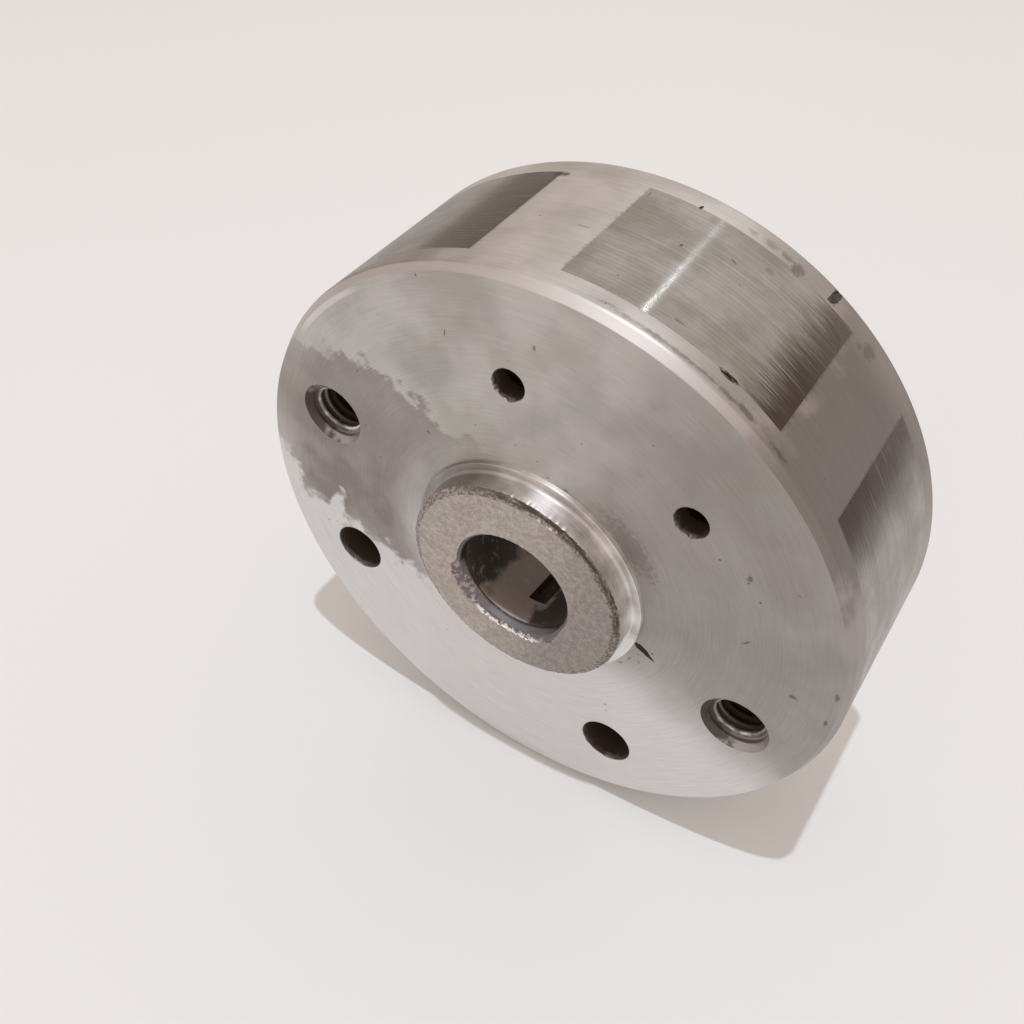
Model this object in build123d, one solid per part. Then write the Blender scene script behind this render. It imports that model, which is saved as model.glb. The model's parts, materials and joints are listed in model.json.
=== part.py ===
from build123d import *
import os

# Magneto flywheel: a steel hub and a magnet pack cast into an aluminium wheel that is turned all over.
# Lengths are millimetres and angles are degrees. Each piece is built on its own axis along +Z, with the
# front face up and the rear face at height 0, and is then turned so that the wheel stands on its rim:
# the axis lies along Y, the front face looks towards -Y and the origin is the centre of the rear face.
# Angles round the wheel are counted from the middle of the centre pole, anticlockwise from the front.

# Aluminium wheel
wheel_diameter = 64.0
wheel_width = 20.6
front_bevel_depth = 0.55
front_bevel_length = 1.05
rear_bevel = 0.3

# How far the centre pole is turned up from level while the wheel stands on its rim
stance_angle = 69.7

# Steel hub: a boss in front, a shoulder flush with the casting and a bore for the tapered shaft
boss_diameter = 23.0
boss_height = 3.1
boss_bevel_depth = 0.75
boss_bevel_length = 0.42
shoulder_diameter = 25.0
shoulder_height = 0.5
shoulder_fillet = 0.65
bore_diameter = 12.0
bore_countersink = 0.55
taper_start_depth = 1.05
taper_ratio = 5.0
rear_mouth_bevel = 0.4
key_width = 2.0
key_slot_depth = 1.1
key_angle = 204.5

# Pole shoes: three packs of stamped sheets whose outer ends are turned flush with the rim
pole_pitch = 54.0
pole_arc = 38.3
pole_front_margin = 3.05
sheet_thickness = 1.5
sheet_count = 10
shoe_depth = 9.4
shoe_inner_width = 16.0
magnet_seat_depth = 1.0

# Magnets and the soft iron core that they stand on
magnet_width = 11.0
core_wall = 2.0
core_corner_height = 1.6

# Stock that is turned off the rim together with the ends of the pole shoes
turning_allowance = 1.0

# Side plates and the rivets that clamp the packs between them
plate_thickness = 1.0
plate_rim_margin = 1.5
plate_overhang_angle = 20.0
rivet_diameter = 2.2
rivet_rim_margin = 4.1
rivet_spread = 12.8

# Balance weight opposite the magnets
weight_inner_gap = 1.0
weight_rim_margin = 2.0
weight_front_depth = 5.2
weight_half_angle = 56.0

# Holes in the front face
puller_circle = 49.2
puller_thread_diameter = 6.0
puller_mouth_diameter = 6.9
puller_depth = 12.0
puller_angles = (90.0, -90.0)
locating_circle = 43.0
locating_diameter = 3.2
locating_depth = 12.0
locating_angles = (26.35, -26.35)
weight_pin_circle = 48.2
weight_pin_diameter = 5.6
weight_pin_angles = (135.0, -135.0)

# Sizes that follow from the ones above
wheel_radius = wheel_diameter / 2
shoulder_radius = shoulder_diameter / 2
boss_radius = boss_diameter / 2
boss_top = wheel_width + boss_height
bore_radius = bore_diameter / 2
taper_top = wheel_width - taper_start_depth
taper_end_radius = bore_radius + taper_top / (2 * taper_ratio)
stack_length = sheet_thickness * sheet_count
stack_top = wheel_width - pole_front_margin
stack_bottom = stack_top - stack_length
shoe_inner_distance = wheel_radius - shoe_depth
magnet_top_distance = shoe_inner_distance + magnet_seat_depth
core_flat_distance = shoulder_radius + core_wall
core_radius = core_flat_distance + core_corner_height
plate_top = stack_top + plate_thickness
plate_bottom = stack_bottom - plate_thickness
plate_radius = wheel_radius - plate_rim_margin
plate_end_angle = pole_pitch + plate_overhang_angle
rivet_circle_radius = wheel_radius - rivet_rim_margin
weight_inner_radius = core_radius + weight_inner_gap
weight_outer_radius = wheel_radius - weight_rim_margin
weight_top = wheel_width - weight_front_depth
pole_angles = {"left": pole_pitch, "centre": 0.0, "right": -pole_pitch}
stance = Rot(90, 0, 0) * Rot(0, 0, stance_angle)


def turned(*corners):
    """A solid turned about the axis, from corners given as radius and height."""
    return revolve(Plane.XZ * make_face(Polyline(*corners, close=True)), Axis.Z)


def sector(inner, outer, low, high, half_angle):
    """A ring segment between two radii and two heights, centred on angle 0."""
    corners = ((inner, low), (outer, low), (outer, high), (inner, high))
    section = Plane.XZ * make_face(Polyline(*corners, close=True))
    return Rot(0, 0, -half_angle) * revolve(section, Axis.Z, revolution_arc=2 * half_angle)


def around(angle, distance, height=0.0):
    """The place at a given angle round the wheel, distance from the axis and height."""
    return Rot(0, 0, angle) * Pos(distance, 0, height)


def upright(radius, low, high):
    """A plain cylinder about the axis between two heights."""
    return Pos(0, 0, (low + high) / 2) * Cylinder(radius, high - low)


def shoe_outline():
    """The wedge that a pole shoe fills before the rim is turned, with a seat for its magnet."""
    half_inner = shoe_inner_width / 2
    half_magnet = magnet_width / 2
    rim_corner = Vector(wheel_radius, 0).rotate(Axis.Z, pole_arc / 2)
    slope = (rim_corner.Y - half_inner) / (rim_corner.X - shoe_inner_distance)
    reach = wheel_radius + turning_allowance
    half_reach = half_inner + slope * (reach - shoe_inner_distance)
    return make_face(Polyline(
        (reach, half_reach),
        (shoe_inner_distance, half_inner),
        (shoe_inner_distance, half_magnet),
        (magnet_top_distance, half_magnet),
        (magnet_top_distance, -half_magnet),
        (shoe_inner_distance, -half_magnet),
        (shoe_inner_distance, -half_inner),
        (reach, -half_reach),
        close=True,
    ))


def pole_sheets():
    """The sheets of one pole shoe, each a solid of its own, with their rivet holes."""
    sheet = shoe_outline() & Circle(wheel_radius)
    for side in (1, -1):
        sheet -= around(side * rivet_spread, rivet_circle_radius) * Circle(rivet_diameter / 2)
    blank = extrude(sheet, sheet_thickness)
    return [Pos(0, 0, stack_bottom + number * sheet_thickness) * blank for number in range(sheet_count)]


def magnet():
    """One block magnet between the core and its pole shoe."""
    height = magnet_top_distance - core_flat_distance
    middle = (magnet_top_distance + core_flat_distance) / 2
    return Pos(middle, 0, (stack_bottom + stack_top) / 2) * Box(height, magnet_width, stack_length)


def magnet_core():
    """The soft iron ring pressed on the hub, with one flat for each magnet."""
    core = upright(core_radius, stack_bottom, stack_top) - upright(shoulder_radius, stack_bottom, stack_top)
    for angle in pole_angles.values():
        cut = Pos(core_flat_distance + core_radius / 2, 0, wheel_width / 2)
        core -= Rot(0, 0, angle) * cut * Box(core_radius, 2 * core_radius, wheel_width)
    return core


def rivet():
    """One rivet on the axis, peened flush with the outer faces of the side plates."""
    return upright(rivet_diameter / 2, plate_bottom, plate_top)


def rivet_places():
    """Where the rivets stand, by name: two in each pole shoe."""
    return {
        f"{pole}_{end}": around(angle + side * rivet_spread, rivet_circle_radius)
        for pole, angle in pole_angles.items()
        for end, side in (("upper", 1), ("lower", -1))
    }


def side_plate(low):
    """The side plate whose lower face is at the given height."""
    high = low + plate_thickness
    plate = sector(shoulder_radius, plate_radius, low, high, plate_end_angle)
    for angle in locating_angles:
        plate -= around(angle, locating_circle / 2) * upright(locating_diameter / 2, low, high)
    for place in rivet_places().values():
        plate -= place * rivet()
    return plate


def balance_weight():
    """The weight that is cast in opposite the magnets."""
    return Rot(0, 0, 180) * sector(
        weight_inner_radius, weight_outer_radius, stack_bottom, weight_top, weight_half_angle)


def hub_blank():
    """The hub as turned, before it is bored."""
    shoulder_top = wheel_width + shoulder_height
    fillet_centre = boss_radius + shoulder_fillet
    corner = shoulder_fillet * (1 - 0.5 ** 0.5)
    outline = Polyline(
        (fillet_centre, shoulder_top),
        (shoulder_radius, shoulder_top),
        (shoulder_radius, 0),
        (0, 0),
        (0, boss_top),
        (boss_radius - boss_bevel_depth, boss_top),
        (boss_radius, boss_top - boss_bevel_length),
        (boss_radius, shoulder_top + shoulder_fillet),
    )
    outline += ThreePointArc(
        (boss_radius, shoulder_top + shoulder_fillet),
        (boss_radius + corner, shoulder_top + corner),
        (fillet_centre, shoulder_top),
    )
    return revolve(Plane.XZ * make_face(outline), Axis.Z)


def hub_bore():
    """The space inside the hub: countersink, straight bore, taper and the key slot that stops with it."""
    space = turned(
        (0, 0),
        (taper_end_radius + rear_mouth_bevel, 0),
        (taper_end_radius, rear_mouth_bevel),
        (bore_radius, taper_top),
        (bore_radius, boss_top - bore_countersink),
        (bore_radius + bore_countersink, boss_top),
        (0, boss_top),
    )
    slot_reach = taper_end_radius + key_slot_depth
    slot_front_reach = bore_radius + key_slot_depth
    slot_corners = ((0, 0), (slot_reach, 0), (slot_front_reach, taper_top), (0, taper_top))
    slot_side = Plane.XZ * make_face(Polyline(*slot_corners, close=True))
    slot = extrude(slot_side, key_width / 2, both=True)
    return space + Rot(0, 0, key_angle) * slot


def hub():
    """The finished steel hub."""
    return hub_blank() - hub_bore()


def wheel_blank():
    """The aluminium as turned, before anything is taken from it."""
    return turned(
        (0, 0),
        (wheel_radius - rear_bevel, 0),
        (wheel_radius, rear_bevel),
        (wheel_radius, wheel_width - front_bevel_length),
        (wheel_radius - front_bevel_depth, wheel_width),
        (0, wheel_width),
    )


def face_hole(radius, depth, mouth_radius=None):
    """A blind hole down from the front face, with a countersunk mouth where one is given."""
    hole = upright(radius, wheel_width - depth, wheel_width)
    if mouth_radius:
        sink = wheel_width - (mouth_radius - radius)
        hole += turned((0, sink), (radius, sink), (mouth_radius, wheel_width), (0, wheel_width))
    return hole


def cast_body():
    """The aluminium, cast round the hub and the magnet pack, turned and drilled."""
    body = wheel_blank() - hub_blank() - magnet_core()
    pocket = extrude(shoe_outline(), stack_length)
    for angle in pole_angles.values():
        body -= Rot(0, 0, angle) * (Pos(0, 0, stack_bottom) * pocket + magnet())
    for low in (plate_bottom, stack_top):
        body -= sector(shoulder_radius, plate_radius, low, low + plate_thickness, plate_end_angle)
    body -= balance_weight()
    for angle in puller_angles:
        body -= around(angle, puller_circle / 2) * face_hole(
            puller_thread_diameter / 2, puller_depth, puller_mouth_diameter / 2)
    for angle in locating_angles:
        body -= around(angle, locating_circle / 2) * face_hole(locating_diameter / 2, locating_depth)
    for angle in weight_pin_angles:
        body -= around(angle, weight_pin_circle / 2) * face_hole(weight_pin_diameter / 2, weight_front_depth)
    return body


def save(name, *pieces):
    """Write one node, turned into the stance of the whole wheel."""
    placed = [stance * piece for piece in pieces]
    shape = placed[0] if len(placed) == 1 else Compound(children=placed)
    export_step(shape, f"parts/{name}.step")


os.makedirs("parts", exist_ok=True)
save("cast_body", cast_body())
save("hub", hub())
save("magnet_core", magnet_core())
save("side_plate_front", side_plate(stack_top))
save("side_plate_rear", side_plate(plate_bottom))
save("balance_weight", balance_weight())
for pole, angle in pole_angles.items():
    turn = Rot(0, 0, angle)
    save(f"pole_shoe_{pole}", *[turn * sheet for sheet in pole_sheets()])
    save(f"magnet_{pole}", turn * magnet())
for name, place in rivet_places().items():
    save(f"pole_rivet_{name}", place * rivet())
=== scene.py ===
"""The looks of a magneto flywheel: turned cast aluminium, a weathered steel hub and steel pole shoes.

Lengths in the classes are millimetres and angles are degrees, unless a comment says otherwise. Angles round
the wheel are counted from the middle of the centre pole, anticlockwise as seen from the front, and heights
from the rear face towards the front.
"""

import sys

import json
import logging
import math
from dataclasses import dataclass, field
from enum import Enum
from typing import Callable, Sequence

import bmesh
import bpy
from mathutils import Matrix, Vector, noise


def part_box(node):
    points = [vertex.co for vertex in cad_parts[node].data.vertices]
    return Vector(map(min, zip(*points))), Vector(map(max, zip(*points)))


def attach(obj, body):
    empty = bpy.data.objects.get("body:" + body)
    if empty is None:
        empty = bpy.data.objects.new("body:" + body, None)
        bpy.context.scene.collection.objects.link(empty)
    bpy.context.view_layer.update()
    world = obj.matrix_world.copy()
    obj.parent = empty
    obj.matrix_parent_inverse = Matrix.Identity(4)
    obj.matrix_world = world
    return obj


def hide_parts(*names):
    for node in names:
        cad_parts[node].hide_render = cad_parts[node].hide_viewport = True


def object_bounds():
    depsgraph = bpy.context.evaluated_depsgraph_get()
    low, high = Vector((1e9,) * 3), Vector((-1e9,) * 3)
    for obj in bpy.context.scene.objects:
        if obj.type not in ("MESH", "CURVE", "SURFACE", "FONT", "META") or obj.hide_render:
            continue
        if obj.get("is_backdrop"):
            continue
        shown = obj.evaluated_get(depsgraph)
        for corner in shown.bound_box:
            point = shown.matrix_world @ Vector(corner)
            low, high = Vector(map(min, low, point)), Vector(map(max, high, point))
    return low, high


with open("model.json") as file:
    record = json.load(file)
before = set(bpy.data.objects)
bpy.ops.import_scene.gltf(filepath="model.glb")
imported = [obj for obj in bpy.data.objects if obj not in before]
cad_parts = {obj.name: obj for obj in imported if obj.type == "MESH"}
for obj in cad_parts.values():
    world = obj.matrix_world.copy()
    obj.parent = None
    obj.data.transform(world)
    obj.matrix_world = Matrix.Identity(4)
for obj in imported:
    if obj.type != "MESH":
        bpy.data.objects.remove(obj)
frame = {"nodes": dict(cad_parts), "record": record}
CAD_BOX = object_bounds()

MM = 0.001
LOG = logging.getLogger("flywheel")

SOFT = {"interpolation_type": "SMOOTHSTEP"}
FRONTWARD = Vector((0.0, -1.0, 0.0))

Socket = bpy.types.NodeSocket
Material = bpy.types.Material
Piece = bpy.types.Object
Place = Callable[[float, float, float], Vector]
Wear = Callable[[float, float, float], tuple[float, float]]


class Pole(Enum):
    """The three poles, by their angle round the wheel."""

    LEFT = 54.0
    CENTRE = 0.0
    RIGHT = -54.0

    @property
    def word(self) -> str:
        """The pole's name as the nodes spell it."""
        return self.name.lower()


@dataclass(frozen=True)
class Wheel:
    """What every piece shares: how the wheel stands and how large it is.

    Attributes:
        stance: how far the centre pole is turned up from level.
        radius: radius of the rim.
        width: height of the front face above the rear face.
        boss_top: height of the boss's front face.
        joint_radius: radius at which the hub meets the casting.
        floor: how far the floor lies below the axis.
    """

    stance: float
    radius: float
    width: float
    boss_top: float
    joint_radius: float
    floor: float

    @classmethod
    def from_frame(cls, record: dict) -> "Wheel":
        """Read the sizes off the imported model.

        Args:
            record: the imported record, whose mounts say where the centre pole points.

        Returns:
            The wheel's shared sizes.
        """
        casting_low, casting_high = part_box("cast_body")
        hub_low, hub_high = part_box("hub")
        pole_axis = mount(record, "pole_faces")["axis"]
        return cls(
            stance=math.degrees(math.atan2(pole_axis[2], pole_axis[0])),
            radius=round(casting_high[2] / MM, 1),
            width=round(-casting_low[1] / MM, 1),
            boss_top=round(-hub_low[1] / MM, 1),
            joint_radius=round(hub_high[2] / MM, 1),
            floor=round(-casting_low[2] / MM, 1),
        )

    def place(self, radius: float, angle: float, height: float) -> Vector:
        """A point in metres, from its radius, angle round the wheel and height."""
        turn = math.radians(self.stance + angle)
        return Vector((radius * math.cos(turn), -height, radius * math.sin(turn))) * MM

    def outward(self, angle: float) -> Vector:
        """The direction straight out of the rim at an angle round the wheel."""
        return self.place(1.0, angle, 0.0).normalized()


@dataclass(frozen=True)
class Corner:
    """A corner of a turned outline and the stretch that follows it.

    Attributes:
        radius: distance from the axis.
        height: height above the rear face.
        ease: how far from the corner its rounding starts, 0 for a sharp corner.
        finish: which of the piece's finishes the stretch after the corner has.
        step: longest distance between two rings on that stretch.
    """

    radius: float
    height: float
    ease: float = 0.0
    finish: int = 0
    step: float = 50.0


def mount(record: dict, name: str) -> dict:
    """The record's mount of a given name."""
    return next(entry for entry in record["mounts"] if entry["name"] == name)


def smoothstep(low: float, high: float, value: float) -> float:
    """0 below low, 1 above high and a soft rise between them."""
    share = min(max((value - low) / (high - low), 0.0), 1.0)
    return share * share * (3.0 - 2.0 * share)


def outline_rings(corners: Sequence[Corner], rounding: int = 4) -> list[Corner]:
    """Round the corners of a closed outline and divide its long stretches.

    Args:
        corners: the outline's corners, in order.
        rounding: how many steps each rounding takes.

    Returns:
        One entry for each ring of the turned mesh.
    """
    rings: list[Corner] = []
    count = len(corners)
    for index, corner in enumerate(corners):
        before, after = corners[index - 1], corners[(index + 1) % count]
        here = Vector((corner.radius, corner.height))
        start = here + (Vector((before.radius, before.height)) - here).normalized() * corner.ease
        end = here + (Vector((after.radius, after.height)) - here).normalized() * corner.ease
        bends = [0.0] if corner.ease == 0.0 else [step / rounding for step in range(rounding + 1)]
        for share in bends:
            point = start * (1 - share) ** 2 + here * 2 * share * (1 - share) + end * share ** 2
            rings.append(Corner(point.x, point.y, 0.0, corner.finish))
        following = Vector((after.radius, after.height))
        far_end = following + (here - following).normalized() * after.ease
        pieces = max(1, math.ceil((far_end - end).length / corner.step))
        for number in range(1, pieces):
            point = end.lerp(far_end, number / pieces)
            rings.append(Corner(point.x, point.y, 0.0, corner.finish))
    return rings


def turned_piece(
    name: str,
    rings: Sequence[Corner],
    around: int,
    place: Place,
    finishes: Sequence[Material],
    wear: Wear | None = None,
) -> Piece:
    """Turn a closed outline about an axis.

    Args:
        name: the new object's name.
        rings: the outline, one entry for each ring.
        around: how many steps the mesh takes round the axis.
        place: gives a point in metres from its radius, angle and height.
        finishes: the materials that the rings' finish numbers choose from.
        wear: moves a point; it takes radius, angle and height and returns a new radius and height.

    Returns:
        The object, with its place in its mesh and its faces pointing outwards.
    """
    mesh = bmesh.new()
    angles = [360.0 * step / around for step in range(around)]
    grid: list[list[bmesh.types.BMVert]] = []
    for ring in rings:
        row = []
        for angle in angles:
            radius, height = wear(ring.radius, angle, ring.height) if wear else (ring.radius, ring.height)
            row.append(mesh.verts.new(place(radius, angle, height)))
        grid.append(row)
    for index, ring in enumerate(rings):
        row, following = grid[index], grid[(index + 1) % len(rings)]
        for step in range(around):
            beside = (step + 1) % around
            face = mesh.faces.new((row[step], row[beside], following[beside], following[step]))
            face.material_index = ring.finish
            face.smooth = True
    bmesh.ops.remove_doubles(mesh, verts=mesh.verts, dist=1e-7)
    bmesh.ops.recalc_face_normals(mesh, faces=mesh.faces)
    return to_object(name, mesh, finishes)


def to_object(name: str, mesh: bmesh.types.BMesh, finishes: Sequence[Material]) -> Piece:
    """Make an object at the origin from an edit mesh, which is used up.

    Args:
        name: the new object's name.
        mesh: the edit mesh.
        finishes: the materials that its faces choose from.

    Returns:
        The object, linked to the scene.
    """
    data = bpy.data.meshes.new(name)
    mesh.to_mesh(data)
    mesh.free()
    for finish in finishes:
        data.materials.append(finish)
    piece = bpy.data.objects.new(name, data)
    bpy.context.scene.collection.objects.link(piece)
    return piece


def prism(name: str, outline: Sequence[Vector], lift: Vector, finish: Material) -> Piece:
    """A straight-sided solid over a flat outline.

    Args:
        name: the new object's name.
        outline: the corners of its first end, in metres.
        lift: the way from the first end to the second, in metres.
        finish: its material.

    Returns:
        The object, with its faces pointing outwards.
    """
    mesh = bmesh.new()
    low = [mesh.verts.new(point) for point in outline]
    high = [mesh.verts.new(point + lift) for point in outline]
    mesh.faces.new(low)
    mesh.faces.new(high)
    count = len(outline)
    for index in range(count):
        beside = (index + 1) % count
        mesh.faces.new((low[index], low[beside], high[beside], high[index]))
    bmesh.ops.recalc_face_normals(mesh, faces=mesh.faces)
    return to_object(name, mesh, [finish])


def lump(
    name: str,
    centre: Vector,
    axes: tuple[Vector, Vector, Vector],
    sizes: tuple[float, float, float],
    finish: Material,
    taper: float = 0.0,
) -> Piece:
    """An uneven pebble that leaves a dent where it is cut away.

    Args:
        name: the new object's name, whose letters also choose how it is uneven.
        centre: its middle, in metres.
        axes: its three directions.
        sizes: its half sizes along them.
        finish: the material that the dent gets.
        taper: how much it narrows towards the end of its first direction.

    Returns:
        The pebble.
    """
    swell, swells_across = 0.28, 1.7
    pattern = Vector((len(name), ord(name[-1]), 0.0))
    mesh = bmesh.new()
    bmesh.ops.create_icosphere(mesh, subdivisions=3, radius=1.0)
    for vert in mesh.verts:
        unit = vert.co.copy()
        spread = 1.0 + swell * noise.noise(unit * swells_across + pattern)
        narrow = 1.0 - taper * 0.5 * (unit.x + 1.0)
        along, across, deep = unit.x * sizes[0], unit.y * sizes[1] * narrow, unit.z * sizes[2] * narrow
        vert.co = centre + (axes[0] * along + axes[1] * across + axes[2] * deep) * spread * MM
    mesh.normal_update()
    bmesh.ops.recalc_face_normals(mesh, faces=mesh.faces)
    return to_object(name, mesh, [finish])


def cut_away(piece: Piece, tools: Sequence[Piece]) -> None:
    """Take the tools' space out of a piece, and delete the tools.

    Args:
        piece: the object that is cut; its mesh is replaced.
        tools: closed objects, whose materials line the cuts.
    """
    group = bpy.data.collections.new("tools")
    bpy.context.scene.collection.children.link(group)
    for tool in tools:
        group.objects.link(tool)
    modifier = piece.modifiers.new("cut", "BOOLEAN")
    modifier.operand_type = "COLLECTION"
    modifier.collection = group
    modifier.solver = "EXACT"
    modifier.material_mode = "TRANSFER"
    make_plain(piece)
    for tool in tools:
        bpy.data.objects.remove(tool)
    bpy.data.collections.remove(group)


def make_plain(piece: Piece) -> None:
    """Turn what an object's modifiers make into its own plain mesh.

    Args:
        piece: the object; its mesh is replaced and its modifiers go.
    """
    bpy.context.view_layer.update()
    evaluated = piece.evaluated_get(bpy.context.evaluated_depsgraph_get())
    result = bpy.data.meshes.new_from_object(evaluated)
    piece.modifiers.clear()
    piece.data = result


def shade(piece: Piece, sharp_from: float = 28.0) -> None:
    """Shade a piece smooth, with crisp edges from an angle on."""
    piece.data.shade_smooth()
    piece.data.set_sharp_from_angle(angle=math.radians(sharp_from))


def linear(colour: str) -> tuple[float, float, float, float]:
    """Turn an sRGB colour into the linear one that the shaders take.

    Args:
        colour: its hex value, such as "#a09692".

    Returns:
        Its red, green and blue, and full opacity.
    """
    channels = [int(colour[start:start + 2], 16) / 255 for start in (1, 3, 5)]
    levels = [level / 12.92 if level <= 0.04045 else ((level + 0.055) / 1.055) ** 2.4 for level in channels]
    return levels[0], levels[1], levels[2], 1.0


@dataclass
class Graph:
    """A node tree that is built one node at a time.

    Attributes:
        tree: the tree.
    """

    tree: bpy.types.NodeTree

    def add(self, kind: str, inputs: dict | None = None, out: int | str = 0, **settings: object) -> Socket:
        """Add a node.

        Args:
            kind: the node's type, which for a shader node goes without its first word.
            inputs: what goes into its inputs, by name or number: a socket to link or a value to set.
            out: which of its outputs is wanted, by name or number.
            **settings: the node's own properties.

        Returns:
            The output that was asked for, or the node's first input where it has no output.
        """
        node = self.tree.nodes.new(kind if "Node" in kind else f"ShaderNode{kind}")
        for name, value in settings.items():
            setattr(node, name, value)
        for key, value in (inputs or {}).items():
            if isinstance(value, Socket):
                self.tree.links.new(value, node.inputs[key])
            else:
                node.inputs[key].default_value = value
        return node.outputs[out] if len(node.outputs) else node.inputs[0]


@dataclass(frozen=True)
class Mark:
    """A dark spot, smear or scratch on the turned surface, or a painted shadow.

    Attributes:
        radius: how far its middle is from the axis.
        angle: its angle round the wheel.
        behind: how far behind the front face it is.
        outward: its half size away from the axis.
        axial: its half size along the axis.
        around: its half size round the wheel.
        turn: how far it is turned about the wheel's axis.
        lean: how far it is turned about the radius.
        strength: how dark it is, from 0 to 1.
    """

    radius: float
    angle: float
    behind: float
    outward: float
    axial: float
    around: float
    turn: float = 0.0
    lean: float = 0.0
    strength: float = 0.8


def rim_mark(
    angle: float, behind: float, axial: float, around: float, lean: float = 0.0, strength: float = 0.8,
) -> Mark:
    """A mark on the rim, which the finishes of both metals read."""
    return Mark(32.0, angle, behind, 1.0, axial, around, lean=lean, strength=strength)


def face_mark(
    radius: float, angle: float, outward: float, around: float, turn: float = 0.0, strength: float = 0.6,
) -> Mark:
    """A mark on the front face."""
    return Mark(radius, angle, 0.0, outward, 0.3, around, turn=turn, strength=strength)


RIM_MARKS = (
    rim_mark(10.3, 1.75, 0.2, 1.5, 6.0, 0.3), rim_mark(6.6, 1.5, 0.27, 1.8, strength=0.36),
    rim_mark(2.5, 1.48, 0.32, 1.8, strength=0.46), rim_mark(-1.8, 1.48, 0.27, 2.0, strength=0.42),
    rim_mark(-6.3, 1.52, 0.24, 2.0, strength=0.38), rim_mark(-10.5, 1.48, 0.3, 1.7, strength=0.46),
    rim_mark(-13.6, 1.6, 0.4, 1.5, strength=0.55), rim_mark(-20.9, 1.35, 0.33, 1.2, strength=0.5),
    rim_mark(1.2, 4.3, 0.12, 0.6, strength=0.5), rim_mark(10.6, 18.1, 0.34, 0.16, 12.0),
    rim_mark(7.8, 20.5, 0.16, 0.4), rim_mark(1.9, 18.8, 0.45, 0.5, strength=0.3),
    rim_mark(-1.4, 18.9, 0.6, 0.9, strength=0.35), rim_mark(-4.4, 18.9, 0.5, 0.8, strength=0.4),
    rim_mark(-6.8, 18.5, 0.95, 0.75, strength=0.5), rim_mark(-3.7, 15.9, 0.35, 0.6, strength=0.3),
    rim_mark(1.1, 14.1, 0.12, 0.45, -20.0, 0.5), rim_mark(-1.8, 12.1, 0.1, 0.12),
    rim_mark(12.2, 5.3, 0.1, 0.12), rim_mark(8.6, 12.3, 0.24, 0.12),
    rim_mark(-13.8, 19.4, 1.1, 0.45, 12.0, 1.0),
    rim_mark(-9.0, 3.12, 0.22, 1.1, strength=1.0), rim_mark(-23.2, 18.3, 1.2, 0.8, 10.0, 0.35),
    rim_mark(-21.4, 17.6, 0.4, 0.5, strength=0.25), rim_mark(34.8, 17.5, 0.5, 1.1, strength=0.8),
    rim_mark(18.5, 17.1, 0.5, 0.12, strength=0.4), rim_mark(22.4, 9.6, 0.1, 1.0, strength=0.35),
)
FACE_MARKS = (
    face_mark(24.26, -41.8, 0.3, 0.5), face_mark(22.63, -60.6, 0.6, 0.13, 40.0),
    face_mark(27.5, -71.0, 0.5, 0.3), face_mark(31.0, -66.0, 0.25, 0.5), face_mark(30.8, -73.5, 0.2, 0.5),
    face_mark(25.74, 40.0, 0.5, 0.07, -30.0), face_mark(16.34, 63.2, 0.3, 0.18),
    face_mark(14.14, 17.5, 0.14, 0.14), face_mark(12.9, 11.8, 0.14, 0.2), face_mark(12.75, 3.2, 0.13, 0.3),
    face_mark(16.35, 40.9, 0.14, 0.1), face_mark(26.2, 19.9, 0.3, 0.2),
    face_mark(13.6, -91.5, 0.4, 0.08, 35.0), face_mark(13.2, -98.0, 0.1, 0.5, 10.0),
    face_mark(13.1, -104.9, 0.12, 0.4, -15.0), face_mark(14.0, -95.5, 0.3, 0.07, -40.0),
    # face_mark(13.7, -30.0, ...) is a painted shadow of the boss on the face, a soft brown cloud.
    face_mark(13.7, -30.0, 1.6, 4.5, 0.0, 0.3), face_mark(24.1, -8.0, 0.12, 0.12),
    face_mark(19.0, 5.0, 0.1, 0.1),
)


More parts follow.
